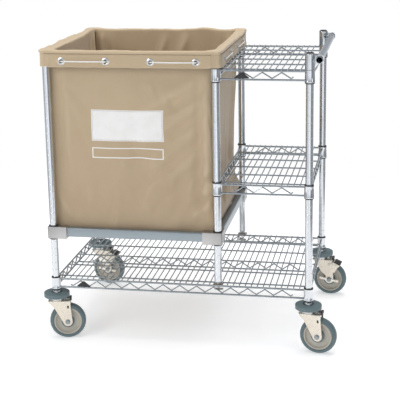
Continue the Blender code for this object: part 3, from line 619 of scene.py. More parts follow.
def sleeve(name, x, y, low, high):
    """The split tapered sleeve between a collar and its post: it shows above and below."""
    bore = POST_RADIUS + 0.0002
    show = 0.0030
    bm = bmesh.new()
    upper = [(bore, high - 0.002), (bore + 0.0026, high + 0.0001), (bore + 0.0026, high + show)]
    upper += [(bore + 0.0018, high + show + 0.0008), (bore, high + show + 0.0008)]
    lower = [(bore, low + 0.002), (bore + 0.0034, low - 0.0001), (bore + 0.0030, low - show)]
    lower += [(bore + 0.0020, low - show - 0.0010), (bore, low - show - 0.0010)]
    lathe(bm, upper, 40, upright(x, y), closed=True)
    lathe(bm, lower, 40, upright(x, y), closed=True)
    piece(name, bm, "black_plastic")


def make_shelf(name, x_from, x_to, supports, middle_truss):
    """Edge trusses, supports along X, deck wires along Y and a collar at each corner."""
    low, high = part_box(name)
    level = (low.z + high.z) / 2
    z_high = level + TRUSS_HALF
    z_low = level - TRUSS_HALF
    z_deck = z_high + EDGE_WIRE + DECK_RISE - DECK_SINK
    z_support = z_deck - DECK_RISE - SUPPORT_WIRE + 0.0002
    end = COLLAR_RADIUS - 0.001
    bm = bmesh.new()
    edges = [(Vector((x_from, y, 0)), ALONG_X, x_to - x_from) for y in (FRONT_Y, REAR_Y)]
    edges += [(Vector((x, FRONT_Y, 0)), ALONG_Y, POST_SPAN_Y) for x in (x_from, x_to)]
    for start, along, span in edges:
        for z in (z_high, z_low):
            line = [start + along * end, start + along * (span - end)]
            sweep(bm, [(p.x, p.y, z) for p in line], EDGE_WIRE, 14)
        zigzag(bm, start, along, span, z_high, z_low)
    for y in supports:
        sweep(bm, [(x_from - 0.001, y, z_support), (x_to + 0.001, y, z_support)], SUPPORT_WIRE, 12)
    if middle_truss is not None:
        y = middle_truss
        sweep(bm, [(x_from - 0.001, y, z_low), (x_to + 0.001, y, z_low)], EDGE_WIRE * 0.9, 12)
        top = z_support + EDGE_WIRE - SUPPORT_WIRE
        zigzag(bm, Vector((x_from, y, 0)), ALONG_X, x_to - x_from, top, z_low)
    gaps = int((x_to - x_from - 2 * DECK_CLEAR) / DECK_PITCH)
    for i in range(gaps + 1):
        x = (x_from + x_to) / 2 + (i - gaps / 2) * DECK_PITCH
        line = [(x, FRONT_Y - 0.0024, z_deck), (x, REAR_Y + 0.0024, z_deck)]
        sweep(bm, line, DECK_WIRE, 10)
    collars = bmesh.new()
    for x in (x_from, x_to):
        for y in (FRONT_Y, REAR_Y):
            collar(collars, x, y, level)
    piece(f"{name}_collars", collars, "chrome")
    # Painted shade: the wires get a darker copy of the chrome.
    piece(f"{name}_wires", bm, "chrome", stands_for=[name], finish=SHADED_WIRE_CHROME)
    for x, side in ((x_from, "left"), (x_to, "right")):
        for row, y in ROWS.items():
            spot = f"sleeve_{name}_{row}_{side}"
            sleeve(spot, x, y, level - COLLAR_HALF, level + COLLAR_HALF)


def make_shelves():
    deep = [FRONT_Y + 0.036 + 0.1155 * i for i in range(5)]
    small = [FRONT_Y + 0.030 + 0.110 * i for i in range(5)]
    make_shelf("bottom_shelf", LEFT_X, RIGHT_X, deep, deep[2])
    make_shelf("middle_shelf", MIDDLE_X, RIGHT_X, small, None)
    make_shelf("top_shelf", MIDDLE_X, RIGHT_X, small, None)


def make_badges():
    """Blank moulded name plates with a raised face, point up."""
    for name in ("badge_bottom_shelf", "badge_top_shelf"):
        low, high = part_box(name)
        centre = (low + high) / 2
        half = (high.x - low.x) / 2
        tall = (high.z - low.z) / 2
        corners = [(-half, -tall, 0), (half, -tall, 0), (0.003, tall, 0), (-0.003, tall, 0)]
        outline = [(p.x, p.y) for p in rounded(corners, 0.0022, 4, closed=True)]
        inner = [(x * 0.78, y * 0.66 - 0.0012, 0) for x, y, _ in corners]
        face = [(p.x, p.y) for p in rounded(inner, 0.0015, 4, closed=True)]
        depth = (high.y - low.y) / 2
        bm = bmesh.new()
        at = Matrix.Translation(centre) @ UPRIGHT
        prism(bm, outline, -depth * 0.9, depth * 0.6, at, 0.0006)
        prism(bm, face, depth * 0.5, depth, at, 0.0003)
        piece(f"{name}_plate", bm, "black_plastic", stands_for=[name])


# The middle posts' feet.


def bolt_head(bm, at, radius, height, sides=6):
    """Adds a hexagon head with a washer face, its axis along the matrix's Z."""
    lathe(bm, [(0, 0), (radius * 1.15, 0), (radius * 1.15, height * 0.2), (0, height * 0.2)], 24, at)
    profile = [(0, height * 0.2), (radius, height * 0.2), (radius, height * 0.85)]
    profile += [(radius * 0.82, height), (0, height)]
    lathe(bm, profile, sides, at)


FOOT_PLATE = (0.034, 0.030, 0.003)
FOOT_NECK = 0.0084


def make_feet():
    """A thin plate on the deck, a nut under the post, and a clip below the wires, all in the casting's
    finish.
    """
    for row, inward in (("front", 1), ("rear", -1)):
        name = f"post_foot_{row}_middle"
        foot_low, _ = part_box(name)
        x, y = MIDDLE_X, ROWS[row]
        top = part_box(f"post_{row}_middle")[0].z - 0.0003
        plate = top - FOOT_NECK
        bm = bmesh.new()
        block(bm, FOOT_PLATE, (x, y, plate - FOOT_PLATE[2] / 2), 0.0009)
        neck = [(0, plate - 0.0005), (0.0078, plate - 0.0005), (0.0078, plate + 0.0060)]
        neck += [(0.0070, plate + 0.0070), (0.0070, top + 0.0003), (0.0108, top + 0.0003)]
        neck += [(0.0108, top + 0.012), (0, top + 0.012)]
        lathe(bm, neck, 24, upright(x, y))
        clip = Vector((x, y + inward * 0.0095, middle("bottom_shelf").z + 0.001))
        block(bm, (0.030, 0.011, 0.005), clip, 0.0010)
        ends = [(clip.x, clip.y, foot_low.z + 0.001), (clip.x, clip.y, plate - 0.001)]
        sweep(bm, ends, 0.003, 12)
        flip = upright(clip.x, clip.y, clip.z - 0.0025) @ Matrix.Rotation(math.pi, 4, "X")
        bolt_head(bm, flip, 0.0050, 0.0035)
        piece(f"{name}_clamp", bm, "satin_casting", stands_for=[name])


# The bag's lower frame.

TURNS = {"front_left": 0, "front_right": 90, "rear_right": 180, "rear_left": 270}
CASTING_REACH = 0.050
CASTING_OUT = 0.0172
CASTING_ROUND = 0.0042
TUBE_HALF = 0.012


def rounded_rectangle(half_x, half_y, radius, count=7):
    points = []
    for i, (sx, sy) in enumerate(((1, 1), (-1, 1), (-1, -1), (1, -1))):
        spot = (sx * (half_x - radius), sy * (half_y - radius))
        points += arc(spot, radius, 90 * i, 90 * i + 90, count)
    return points


def make_frame_tubes():
    """Rectangular tube with round corners, open where it enters the castings."""
    for side in ("front", "rear", "left", "right"):
        name = f"lower_frame_tube_{side}"
        low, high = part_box(name)
        centre = (low + high) / 2
        along_x = side in ("front", "rear")
        half_wide = ((high.y - low.y) if along_x else (high.x - low.x)) / 2
        half_high = (high.z - low.z) / 2
        length = (high.x - low.x) if along_x else (high.y - low.y)
        along, across = (ALONG_X, ALONG_Y) if along_x else (ALONG_Y, ALONG_X)
        outer = rounded_rectangle(half_wide, half_high, 0.0050)
        inner = rounded_rectangle(half_wide - 0.002, half_high - 0.002, 0.0030)
        bm = bmesh.new()
        loops = []
        for section, end in ((outer, -1), (outer, 1), (inner, 1), (inner, -1)):
            shift = along * (end * length / 2)
            places = [centre + across * a + ALONG_Z * b + shift for a, b in section]
            loops.append([bm.verts.new(place) for place in places])
        skin(bm, loops, closed=True)
        piece(f"{name}_steel", bm, "frame_steel", stands_for=[name])


def make_castings():
    """Box-like corner castings with rounded corners, and a set screw inside each arm."""
    for corner, turn in TURNS.items():
        name = f"lower_frame_casting_{corner}"
        row, side = corner.split("_")
        x = LEFT_X if side == "left" else MIDDLE_X
        y = ROWS[row]
        low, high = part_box(name)
        spin = upright(x, y) @ Matrix.Rotation(math.radians(turn), 4, "Z")
        half = TUBE_HALF
        out = -CASTING_OUT
        inner = [(CASTING_REACH, out), (CASTING_REACH, half), (half, half), (half, CASTING_REACH)]
        inner += [(out, CASTING_REACH)]
        hub = (out + CASTING_ROUND, out + CASTING_ROUND)
        outline = inner + arc(hub, CASTING_ROUND, 180, 270, 8)
        bm = bmesh.new()
        prism(bm, outline, low.z, high.z, spin, 0.0018, 3)
        level = (low.z + high.z) / 2
        for head in (
            Matrix.Translation((0.034, half, level)) @ Matrix.Rotation(-math.pi / 2, 4, "X"),
            Matrix.Translation((half, 0.034, level)) @ Matrix.Rotation(math.pi / 2, 4, "Y"),
        ):
            profile = [(0, 0.0012), (0.0040, 0.0008), (0.0046, -0.0004), (0, -0.0004)]
            lathe(bm, profile, 20, spin @ head)
        casting = piece(f"{name}_boss", bm, "satin_casting", stands_for=[name])
        bore = bmesh.new()
        walls = [(0, low.z - 0.01), (POST_RADIUS + 0.0008, low.z - 0.01)]
        walls += [(POST_RADIUS + 0.0008, high.z + 0.01), (0, high.z + 0.01)]
        lathe(bore, walls, 40, upright(x, y))
        cut(casting, bore)
        sleeve(f"sleeve_lower_frame_{corner}", x, y, low.z, high.z)


# The bag: one grid of cloth from the hem's lower edge, over the rim and down to the floor.

BAG_LOW, BAG_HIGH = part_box("bag")
CAD_CLOTH = 0.002
CLOTH = 0.0016
HEM_OUT = LEFT_X - BAG_LOW.x - CAD_CLOTH / 2  # posts' line to the hem
HEM_TOP = BAG_HIGH.z - CAD_CLOTH / 2
FLOOR_SAG = 0.0050  # the cloth floor hangs this far below its plain box
BAG_BOTTOM = BAG_LOW.z - FLOOR_SAG
HEM_BOTTOM = 0.9625
STITCH_Z = HEM_TOP - 0.0125
BAG_INSET = 0.0146
RIM_ROUND = 0.006
RIM_LEAN = 0.0050  # rim's fall from its outer to its inner edge, between the posts
SIDE_STEPS = 50
CORNER_STEPS = 5
WALL_STEPS = 54
FLOOR_STEPS = 12
BAG_HALF = Vector((BAG_BAY / 2, POST_SPAN_Y / 2, 0))
SETTLE_FRAMES = 26
FOLD_SEED = 11
FOLDS_A_WALL = 15
WALLS = {
    "front": (Vector((1, 0, 0)), Vector((0, -1, 0))),
    "right": (Vector((0, 1, 0)), Vector((1, 0, 0))),
    "rear": (Vector((-1, 0, 0)), Vector((0, 1, 0))),
    "left": (Vector((0, -1, 0)), Vector((-1, 0, 0))),
}


def smooth_step(low, high, value):
    t = max(0.0, min(1.0, (value - low) / (high - low)))
    return t * t * (3 - 2 * t)


def ridge(spot, start, end, width, height):
    """A rounded fold along a line on a wall, faded at both ends."""
    line = end - start
    along = max(0.0, min(1.0, (spot - start).dot(line) / line.length_squared))
    away = (spot - start - line * along).length
    fade = math.sin(math.pi * (0.12 + 0.76 * along))
    return height * fade * math.exp(-((away / width) ** 2))


def wall_folds():
    """Each wall's folds as (start, end, width, height), across and up from its left foot."""
    chance = random.Random(FOLD_SEED)
    folds = {}
    for side, (along, _) in WALLS.items():
        wide = 2 * abs(BAG_HALF.dot(along)) - 2 * BAG_INSET
        made = []
        for _ in range(FOLDS_A_WALL):
            start = Vector((chance.uniform(0.05, wide - 0.05), chance.uniform(0.45, 0.95)))
            slope = Vector((chance.uniform(-0.7, 0.7), -1)) * chance.uniform(0.10, 0.26)
            width = chance.uniform(0.018, 0.044)
            height = chance.uniform(0.0034, 0.0088) * chance.choice((-1, 1))
            made.append((start, start + slope, width, height))
        folds[side] = made
    wide = 2 * BAG_HALF.x - 2 * BAG_INSET
    deep = 2 * BAG_HALF.y - 2 * BAG_INSET
    # A fan of soft folds falls from the right corner across the front.
    for i in range(4):
        start = Vector((wide - 0.034, 0.925 - 0.078 * i))
        reach = Vector((-0.23 + 0.014 * i, -0.115 - 0.026 * i))
        folds["front"].append((start, start + reach, 0.021 + 0.004 * i, 0.0100 - 0.0004 * i))
        valley = Vector((0, -0.038))
        folds["front"].append((start + valley, start + valley + reach, 0.020, -0.0100))
    # A tuck runs down beside the right corner, and a slack roll beside the left one.
    for head, foot, width, height in (
        ((wide - 0.020, 0.93), (wide - 0.022, 0.44), 0.012, 0.0100),
        ((wide - 0.046, 0.92), (wide - 0.048, 0.46), 0.014, -0.0085),
        ((0.020, 0.95), (0.026, 0.44), 0.014, -0.0080),
        ((0.052, 0.95), (0.062, 0.47), 0.022, 0.0085),
    ):
        folds["front"].append((Vector(head), Vector(foot), width, height))
    # Short pinches near the upper middle and the lower right corner, and low broad swags. Then
    # more of them under the rim at the back, and low on the right wall.
    for i in range(4):
        way = (-1) ** i
        for side, x, z, reach, width, height in (
            ("front", 0.330 + 0.022 * i, 0.905 - 0.016 * i, (0.022, -0.044), 0.011, 0.0064 * way),
            ("front", wide - 0.075 + 0.014 * i, 0.455 + 0.040 * i, (0.052, 0.038), 0.013, 0.0095 * way),
            ("front", 0.100 + 0.105 * i, 0.455, (0.030, 0.130), 0.024, 0.0092 * way),
            ("rear", 0.190 + 0.038 * i, 0.990, (0.042, -0.105), 0.013, -0.0150 + 0.0130 * (i % 2)),
            ("right", 0.080 + 0.110 * i, 0.430, (0.070, 0.130), 0.018, 0.0120 * way),
        ):
            start = Vector((x, z))
            folds[side].append((start, start + Vector(reach), width, height))
    # Bunched cloth in the rear corners.
    for side, middle_spot in (("rear", wide), ("left", 0.0), ("rear", 0.0), ("right", deep)):
        inward = -1 if middle_spot else 1
        for out, height, width in ((0.026, -0.0260, 0.011), (0.062, -0.0120, 0.014)):
            head = Vector((middle_spot + inward * out, 0.995))
            foot = head + Vector((inward * 0.030, -0.330))
            folds[side].append((head, foot, width, height))
    return folds


def wall_bulge(side, spot, folds):
    """How far a wall stands out at one place, across and up."""
    wide = 2 * abs(BAG_HALF.dot(WALLS[side][0])) - 2 * BAG_INSET
    middle_part = math.sin(math.pi * max(0.0, min(1.0, spot.x / wide)))
    rise = (spot.y - BAG_BOTTOM) / (HEM_TOP - BAG_BOTTOM)
    out = 0.0045 * middle_part * math.sin(math.pi * (1 - rise) ** 1.5)
    seed = Vector((spot.x * 4.2, spot.y * 3.1, 7.0 * len(side) + ord(side[0])))
    out += 0.0042 * noise.fractal(seed, 1.0, 2.0, 3)
    out += sum(ridge(spot, *fold) for fold in folds[side])
    if side == "left":
        # It bellies out just behind the front post.
        behind = wide - spot.x
        belly = smooth_step(-0.002, 0.014, behind) * (1 - smooth_step(0.08, 0.26, behind))
        out += 0.0180 * belly
    if side == "right":
        # Its rear part is drawn in at mid height.
        drawn = smooth_step(0.42 * wide, wide, spot.x)
        out -= 0.021 * drawn * math.exp(-(((spot.y - 0.66) / 0.15) ** 2))
        # Its low part rolls out over the lower frame's tube.
        out += 0.0110 * math.exp(-(((spot.y - 0.432) / 0.028) ** 2))
    return out


def bag_outset(point, folds):
    """The cloth's move from the plain box, with every wall's bulge faded away from it."""
    shift = Vector((0, 0, 0))
    fade = 1 - smooth_step(HEM_TOP - 0.030, HEM_TOP - 0.006, point.z)
    for side, (along, outward) in WALLS.items():
        from_middle = point - BAG_MIDDLE
        half = abs(BAG_HALF.dot(along)) - BAG_INSET
        across = from_middle.dot(along) + half
        depth = abs(BAG_HALF.dot(outward)) - BAG_INSET - from_middle.dot(outward)
        near = math.exp(-max(0.0, depth) / 0.030)
        if near > 0.02:
            shift += outward * (wall_bulge(side, Vector((across, point.z)), folds) * near * fade)
    return shift


def bag_profile():
    """The cloth's section as (out from the posts' line, height, corner radius)."""
    rows = []
    hem = [HEM_BOTTOM, HEM_BOTTOM + 0.0022]
    hem += [HEM_BOTTOM + 0.0022 + 0.0044 * i for i in range(1, 9)]
    hem += [STITCH_Z - 0.0024, STITCH_Z - 0.0008, STITCH_Z + 0.0008, STITCH_Z + 0.0024]
    hem += [STITCH_Z + 0.0048]
    for z in hem:
        groove = -0.0008 * math.exp(-(((z - STITCH_Z) / 0.0012) ** 2))
        roll = 0.0012 * smooth_step(STITCH_Z, STITCH_Z + 0.0030, z)
        rows.append((HEM_OUT + groove + roll, z, HEM_OUT))
    for x, z in arc((HEM_OUT + 0.0012 - RIM_ROUND, HEM_TOP - RIM_ROUND), RIM_ROUND, 12, 90, 4):
        rows.append((x, z, HEM_OUT - 0.002))
    for i in range(1, 6):
        t = i / 6
        out = (HEM_OUT - RIM_ROUND) * (1 - t) + (RIM_ROUND - BAG_INSET) * t
        rows.append((out, HEM_TOP, 0.012 - 0.006 * t))
    for x, z in arc((RIM_ROUND - BAG_INSET, HEM_TOP - RIM_ROUND), RIM_ROUND, 90, 180, 4):
        rows.append((x, z, 0.006))
    top = HEM_TOP - RIM_ROUND
    foot = BAG_BOTTOM + RIM_ROUND
    rows += [(-BAG_INSET, top + (foot - top) * i / WALL_STEPS, 0.006) for i in range(1, WALL_STEPS)]
    for x, z in arc((-BAG_INSET - RIM_ROUND, foot), RIM_ROUND, 0, -90, 4):
        rows.append((x, z, 0.006))
    half = min(BAG_HALF.x, BAG_HALF.y) - BAG_INSET - RIM_ROUND
    for i in range(1, FLOOR_STEPS):
        inward = half * 0.97 * i / (FLOOR_STEPS - 1)
        rows.append((-BAG_INSET - RIM_ROUND - inward, BAG_BOTTOM, 0.006 * (1 - i / FLOOR_STEPS)))
    return rows


def bag_ring(out, radius):
    """The bag's plan at one height: corners of some steps, and straight sides between."""
    half_x, half_y = BAG_HALF.x + out, BAG_HALF.y + out
    radius = min(radius, 0.9 * half_x, 0.9 * half_y)
    corners = rounded_rectangle(half_x, half_y, radius, CORNER_STEPS + 1)
    count = CORNER_STEPS + 1
    ring = []
    for i in range(4):
        ring += corners[i * count:(i + 1) * count]
        (x0, y0), (x1, y1) = ring[-1], corners[(i + 1) * count % len(corners)]
        for k in range(1, SIDE_STEPS):
            t = k / SIDE_STEPS
            ring.append((x0 + (x1 - x0) * t, y0 + (y1 - y0) * t))
    return [Vector((x, y, 0)) for x, y in ring]


def rim_sway(plan, out, z):
    """The rim's fall between the posts, and its hem's waves, as (outward, up)."""
    wave = noise.noise(Vector((plan.x * 10, plan.y * 10, 3.0)))
    ripple = noise.noise(Vector((plan.x * 34, plan.y * 34, 9.0)))
    corner = Vector((BAG_HALF.x - abs(plan.x), BAG_HALF.y - abs(plan.y)))
    corner = Vector((max(0.0, corner.x), max(0.0, corner.y)))
    between = smooth_step(0.018, 0.050, corner.length)
    top = smooth_step(STITCH_Z - 0.004, HEM_TOP - 0.004, z)
    inward = smooth_step(HEM_OUT - RIM_ROUND, RIM_ROUND - BAG_INSET, out)
    rear = smooth_step(0.0, BAG_HALF.y, plan.y)
    lean = RIM_LEAN * ((1 - rear) * inward + 0.8 * rear * (1 - inward))
    up = ((0.0050 + 0.0030 * rear) * wave + 0.0022 * ripple - 0.0012) * top - lean * top
    up = max(up, -0.0062)
    edge = (1 - smooth_step(HEM_BOTTOM, HEM_BOTTOM + 0.016, z)) if out > 0 else 0.0
    flare = max(0.0, (0.0020 + 0.0080 * wave + 0.0036 * ripple) * edge)
    return flare, up * between + (0.0060 * wave + 0.0024 * ripple) * edge


def make_bag_grid():
    folds = wall_folds()
    bm = bmesh.new()
    rings = []
    for out, z, radius in bag_profile():
        ring = []
        for plan in bag_ring(out, radius):
            point = BAG_MIDDLE + plan + Vector((0, 0, z))
            if z > HEM_BOTTOM - 0.001 and out > -BAG_INSET + 0.0005:
                outward = Vector((plan.x / (BAG_HALF.x + out), plan.y / (BAG_HALF.y + out), 0))
                for axis in (0, 1):
                    outward[axis] = math.copysign(abs(outward[axis]) ** 9, outward[axis])
                flare, up = rim_sway(plan, out, z)
                point += outward.normalized() * flare
                point.z += up
            else:
                if z > HEM_TOP - RIM_ROUND - 0.030:
                    joined = smooth_step(HEM_TOP - RIM_ROUND - 0.030, HEM_TOP - RIM_ROUND, z)
                    point.z += rim_sway(plan, -BAG_INSET, HEM_TOP)[1] * joined
                point += bag_outset(point, folds)
            ring.append(bm.verts.new(point))
        rings.append(ring)
    skin(bm, rings)
    last = rings[-1]
    count = len(last)
    centre = bm.verts.new(sum((v.co for v in last), Vector()) / count)
    for i in range(count):
        bm.faces.new((last[i], last[(i + 1) % count], centre))
    return bm


# How the cloth behaves while it settles.
DUCK = {
    "quality": 5,
    "mass": 0.45,
    "tension_stiffness": 25,
    "compression_stiffness": 25,
    "shear_stiffness": 12,
    "bending_stiffness": 5,
    "air_damping": 4,
    "shrink_min": -0.001,
    "vertex_group_mass": "held",
    "pin_stiffness": 1.0,
}


def settle(obj):
    """Lets the walls hang from the held rim as slightly slack cloth."""
    held = obj.vertex_groups.new(name="held")
    for vertex in obj.data.vertices:
        at = vertex.co
        inside = max(abs(at.x - BAG_MIDDLE.x) - BAG_HALF.x, abs(at.y - BAG_MIDDLE.y) - BAG_HALF.y)
        if at.z > HEM_TOP - 0.014 or inside > -BAG_INSET + 0.006:
            held.add([vertex.index], 1.0, "REPLACE")
        elif at.z < BAG_BOTTOM + 0.004:
            held.add([vertex.index], 0.4, "REPLACE")
    cloth = obj.modifiers.new("Hang", "CLOTH")
    for setting, value in DUCK.items():
        setattr(cloth.settings, setting, value)
    cloth.point_cache.frame_start = 1
    cloth.point_cache.frame_end = SETTLE_FRAMES
    scene = bpy.context.scene
    for number in range(1, SETTLE_FRAMES + 1):
        scene.frame_set(number)
    ease = obj.modifiers.new("Ease", "SMOOTH")
    ease.factor = 0.5
    ease.iterations = 2
    ease.vertex_group = "held"
    ease.invert_vertex_group = True
    bake(obj)
    scene.frame_set(1)


WALL_OUT = 0.0085  # how far a wall may stand out from the plain box
BELLY_OUT = 0.0140  # the same on the left
FRAME_OUT = 0.0014  # the same beside a frame
POST_CLEAR = 0.0184  # the least from the cloth to a post's middle


def keep_clear(obj):
    """Holds the walls back from the posts and the shelves, and nearly from the lower frame."""
    for vertex in obj.data.vertices:
        at = vertex.co
        if at.z > HEM_TOP - 0.010:
            continue
        for _, outward in WALLS.values():
            half = abs(BAG_HALF.dot(outward)) - BAG_INSET
            over = (at - BAG_MIDDLE).dot(outward) - half
            beside = max(smooth_step(0.950, 0.970, at.z), 1 - smooth_step(0.404, 0.417, at.z))
            most = BELLY_OUT if outward.x < -0.5 else WALL_OUT
            most += (FRAME_OUT - most) * beside
            free = most * 0.45
            if free < over < 0.024:
                eased = free + (most - free) * (1 - math.exp(-(over - free) / (most - free)))
                at -= outward * (over - eased)
        for x in (LEFT_X, MIDDLE_X):
            for y in (FRONT_Y, REAR_Y):
                away = Vector((at.x - x, at.y - y, 0))
                aside = at - BAG_MIDDLE
                inside = abs(aside.x) < BAG_HALF.x and abs(aside.y) < BAG_HALF.y
                if inside and away.length < POST_CLEAR:
                    at += away.normalized() * (POST_CLEAR - away.length)
        at.z = max(at.z, BAG_BOTTOM - 0.0030)


HOLE_Z = 0.981
HOLE_PITCH = {"front": 0.150, "right": 0.143, "rear": 0.150, "left": 0.143}
HOLES_A_SIDE = 4
FLANGE_RADIUS = 0.0130
BORE_RADIUS = 0.0066
HOLE_REACH = 0.0080  # faces of the hem this near to a hole's centre go


def hem_holes():
    """Each hole's place in its side, its centre on the posts' line, and its directions."""
    for side, (along, outward) in WALLS.items():
        line = BAG_MIDDLE + outward * abs(BAG_HALF.dot(outward))
        for i in range(HOLES_A_SIDE):
            spot = line + along * HOLE_PITCH[side] * (i - (HOLES_A_SIDE - 1) / 2)
            yield i, Vector((spot.x, spot.y, HOLE_Z)), outward, along


def make_bag():
    bm = make_bag_grid()
    bag = piece("bag_cloth", bm, "bag_cloth", stands_for=["bag"], sharp=180)
    settle(bag)
    keep_clear(bag)
    finer = bag.modifiers.new("Finer", "SUBSURF")
    finer.levels = 1
    finer.render_levels = 1
    bake(bag)
    punch_holes(bag)
    wall = bag.modifiers.new("Thickness", "SOLIDIFY")
    wall.thickness = CLOTH
    wall.offset = 0
    bake(bag)
    bag.data.shade_smooth()
    bag.data.materials[0] = FINISHES["bag_cloth"]
    return bag


def punch_holes(bag):
    """Opens the hem under each grommet. The flanges cover the openings' edges."""
    bm = bmesh.new()
    bm.from_mesh(bag.data)
    centres = [spot + outward * HEM_OUT for _, spot, outward, _ in hem_holes()]
    hem = [f for f in bm.faces if abs(f.calc_center_median().z - HOLE_Z) < 0.012]
    gone = []
    for face in hem:
        middle_point = face.calc_center_median()
        if any((middle_point - centre).length < HOLE_REACH for centre in centres):
            gone.append(face)
    bmesh.ops.delete(bm, geom=gone, context="FACES")
    bm.to_mesh(bag.data)
    bm.free()


def make_grommets():
    """Two rolled flanges and the short tube that joins them, at each hole."""
    bm = bmesh.new()
    outer = CLOTH / 2
    profile = [(BORE_RADIUS, outer + 0.0006), (BORE_RADIUS + 0.0010, outer + 0.0014)]
    profile += [(BORE_RADIUS + 0.0030, outer + 0.0016), (FLANGE_RADIUS - 0.0022, outer + 0.0010)]
    profile += [(FLANGE_RADIUS - 0.0006, outer + 0.0006), (FLANGE_RADIUS, outer - 0.0002)]
    profile += [(FLANGE_RADIUS - 0.0004, outer - 0.0004), (BORE_RADIUS + 0.0008, outer - 0.0004)]
    back = mirrored(profile, 0.8)
    for _, spot, outward, _ in hem_holes():
        turn = outward.to_track_quat("Z", "Y").to_matrix().to_4x4()
        at = Matrix.Translation(spot + outward * HEM_OUT) @ turn
        lathe(bm, profile + back, 36, at, closed=True)
    return piece("bag_grommets", bm, "chrome", finish=NICKEL)


# The lace.

LACE_RADIUS = 0.0025
LACE_OUT = HEM_OUT + CLOTH / 2 + 0.0015 + LACE_RADIUS
LACE_IN = HEM_OUT - CLOTH / 2 - 0.0014 - LACE_RADIUS
LACE_CORNER_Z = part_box("upper_bag_frame")[0].z - 0.0006 - LACE_RADIUS


def corner_lace(outward, along):
    """Round the post at the end of a side, under the upper frame's sleeve."""
    x = MIDDLE_X if (along.x + outward.x) > 0 else LEFT_X
    y = REAR_Y if (along.y + outward.y) > 0 else FRONT_Y
    post = Vector((x, y, LACE_CORNER_Z))
    bend = []
    for i in range(9):
        a = math.radians(90 * i / 8)
        bend.append(post + (outward * math.cos(a) + along * math.sin(a)) * LACE_IN)
    before = post + outward * LACE_IN - along * 0.030
    after = post + along * LACE_IN - outward * 0.030
    return [before, *bend, after]


def make_lace():
    """A plaited cord in and out of the hem, round the four corners."""
    lead = 0.006
    points = []
    for i, spot, outward, along in hem_holes():
        inner = spot + outward * LACE_IN
        outer = spot + outward * LACE_OUT
        first, second = (inner, outer) if i % 2 == 0 else (outer, inner)
        points += [first - along * lead, first, second, second + along * lead]
        if i % 2 == 0:
            slack = outer + along * HOLE_PITCH["right"] / 2 + outward * 0.0002
            points.append(slack - Vector((0, 0, 0.0005)))
        if i == HOLES_A_SIDE - 1:
            points += corner_lace(outward, along)
    line = rounded(points, 0.0035, 4, closed=True)
    bm = bmesh.new()
    sweep(bm, line, LACE_RADIUS, 12, closed=True)
    piece("hem_lace_cord", bm, "white_cord", stands_for=["hem_lace"])


# Sewing and the blank label.


def on_cloth(tree, point, inward, reach=0.05):
    """The cloth's surface met along a line from outside, and its normal."""
    hit, normal, _, _ = tree.ray_cast(point, inward, reach)
    if hit is None:
        return None, None
    return hit, normal if normal.dot(inward) < 0 else -normal


def stitch(bm, start, end, normal, radius=0.0009):
    lift = normal * radius * 0.7
    crest = (start + end) / 2 + normal * radius
    line = [start - lift, start + lift * 0.6, crest, end + lift * 0.6, end - lift]
    sweep(bm, line, radius, 6)


def make_stitches(tree):
    """A seam round the hem under its rolled edge, in short stitches."""
    bm = bmesh.new()
    pitch = 0.0066
    for along, outward in WALLS.values():
        half = abs(BAG_HALF.dot(along)) - 0.002
        line = BAG_MIDDLE + outward * (abs(BAG_HALF.dot(outward)) + 0.05)
        for i in range(int(2 * half / pitch)):
            start = line + along * (-half + pitch * i) + Vector((0, 0, STITCH_Z))
            ends = [on_cloth(tree, start + along * step, -outward) for step in (0, pitch * 0.62)]
            if ends[0][0] and ends[1][0]:
                stitch(bm, ends[0][0], ends[1][0], outward)
    return piece("bag_hem_stitches", bm, "bag_cloth", finish=THREAD)


LABEL_X = LEFT_X + BAG_INSET + 0.131
LABEL_SIZE = (0.246, 0.106)
LABEL_FOOT = 0.709
STRIP_SIZE = (0.246, 0.036)
STRIP_FOOT = 0.650
STRIP_LINE = 0.0034
PATCH_STEP = 0.004


def add_patch(bm, tree, left, foot, size, lift):
    """A rectangle of tape laid on the front wall, following its folds."""
    across = max(2, int(size[0] / PATCH_STEP))
    up = max(2, int(size[1] / PATCH_STEP))
    grid = []
    for k in range(up + 1):
        row = []
        for i in range(across + 1):
            point = Vector((left + size[0] * i / across, FRONT_Y - 0.05, foot + size[1] * k / up))
            hit, normal = on_cloth(tree, point, ALONG_Y, 0.2)
            edge = i in (0, across) or k in (0, up)
            row.append((hit, normal * (lift * (0.4 if edge else 1.0)), normal * 0.0002))
        grid.append(row)
    top = [[bm.verts.new(hit + out) for hit, out, _ in row] for row in grid]
    under = [[bm.verts.new(hit - back) for hit, _, back in row] for row in grid]
    for k in range(up):
        for i in range(across):
            bm.faces.new((top[k][i], top[k][i + 1], top[k + 1][i + 1], top[k + 1][i]))
            bm.faces.new((under[k + 1][i], under[k + 1][i + 1], under[k][i + 1], under[k][i]))
    border = [(0, i) for i in range(across)] + [(k, across) for k in range(up)]
    border += [(up, i) for i in range(across, 0, -1)] + [(k, 0) for k in range(up, 0, -1)]
    for (k0, i0), (k1, i1) in zip(border, border[1:] + border[:1]):
        bm.faces.new((top[k0][i0], under[k0][i0], under[k1][i1], top[k1][i1]))


def make_label(tree):
    bm = bmesh.new()
    add_patch(bm, tree, LABEL_X, LABEL_FOOT, LABEL_SIZE, 0.0008)
    return piece("bag_label", bm, "white_cord", sharp=60, finish=LABEL)


def make_outline(tree):
    """A thin printed-looking outline under the label, left empty for writing on."""
    bm = bmesh.new()
    wide, tall = STRIP_SIZE
    for z in (STRIP_FOOT, STRIP_FOOT + tall - STRIP_LINE):
        add_patch(bm, tree, LABEL_X, z, (wide, STRIP_LINE), 0.0005)
    inside = tall - 2 * STRIP_LINE - 0.0006
    for x in (LABEL_X, LABEL_X + wide - STRIP_LINE):
        add_patch(bm, tree, x, STRIP_FOOT + STRIP_LINE + 0.0003, (STRIP_LINE, inside), 0.0005)
    return piece("bag_write_on_outline", bm, "white_cord", sharp=60, finish=LABEL)


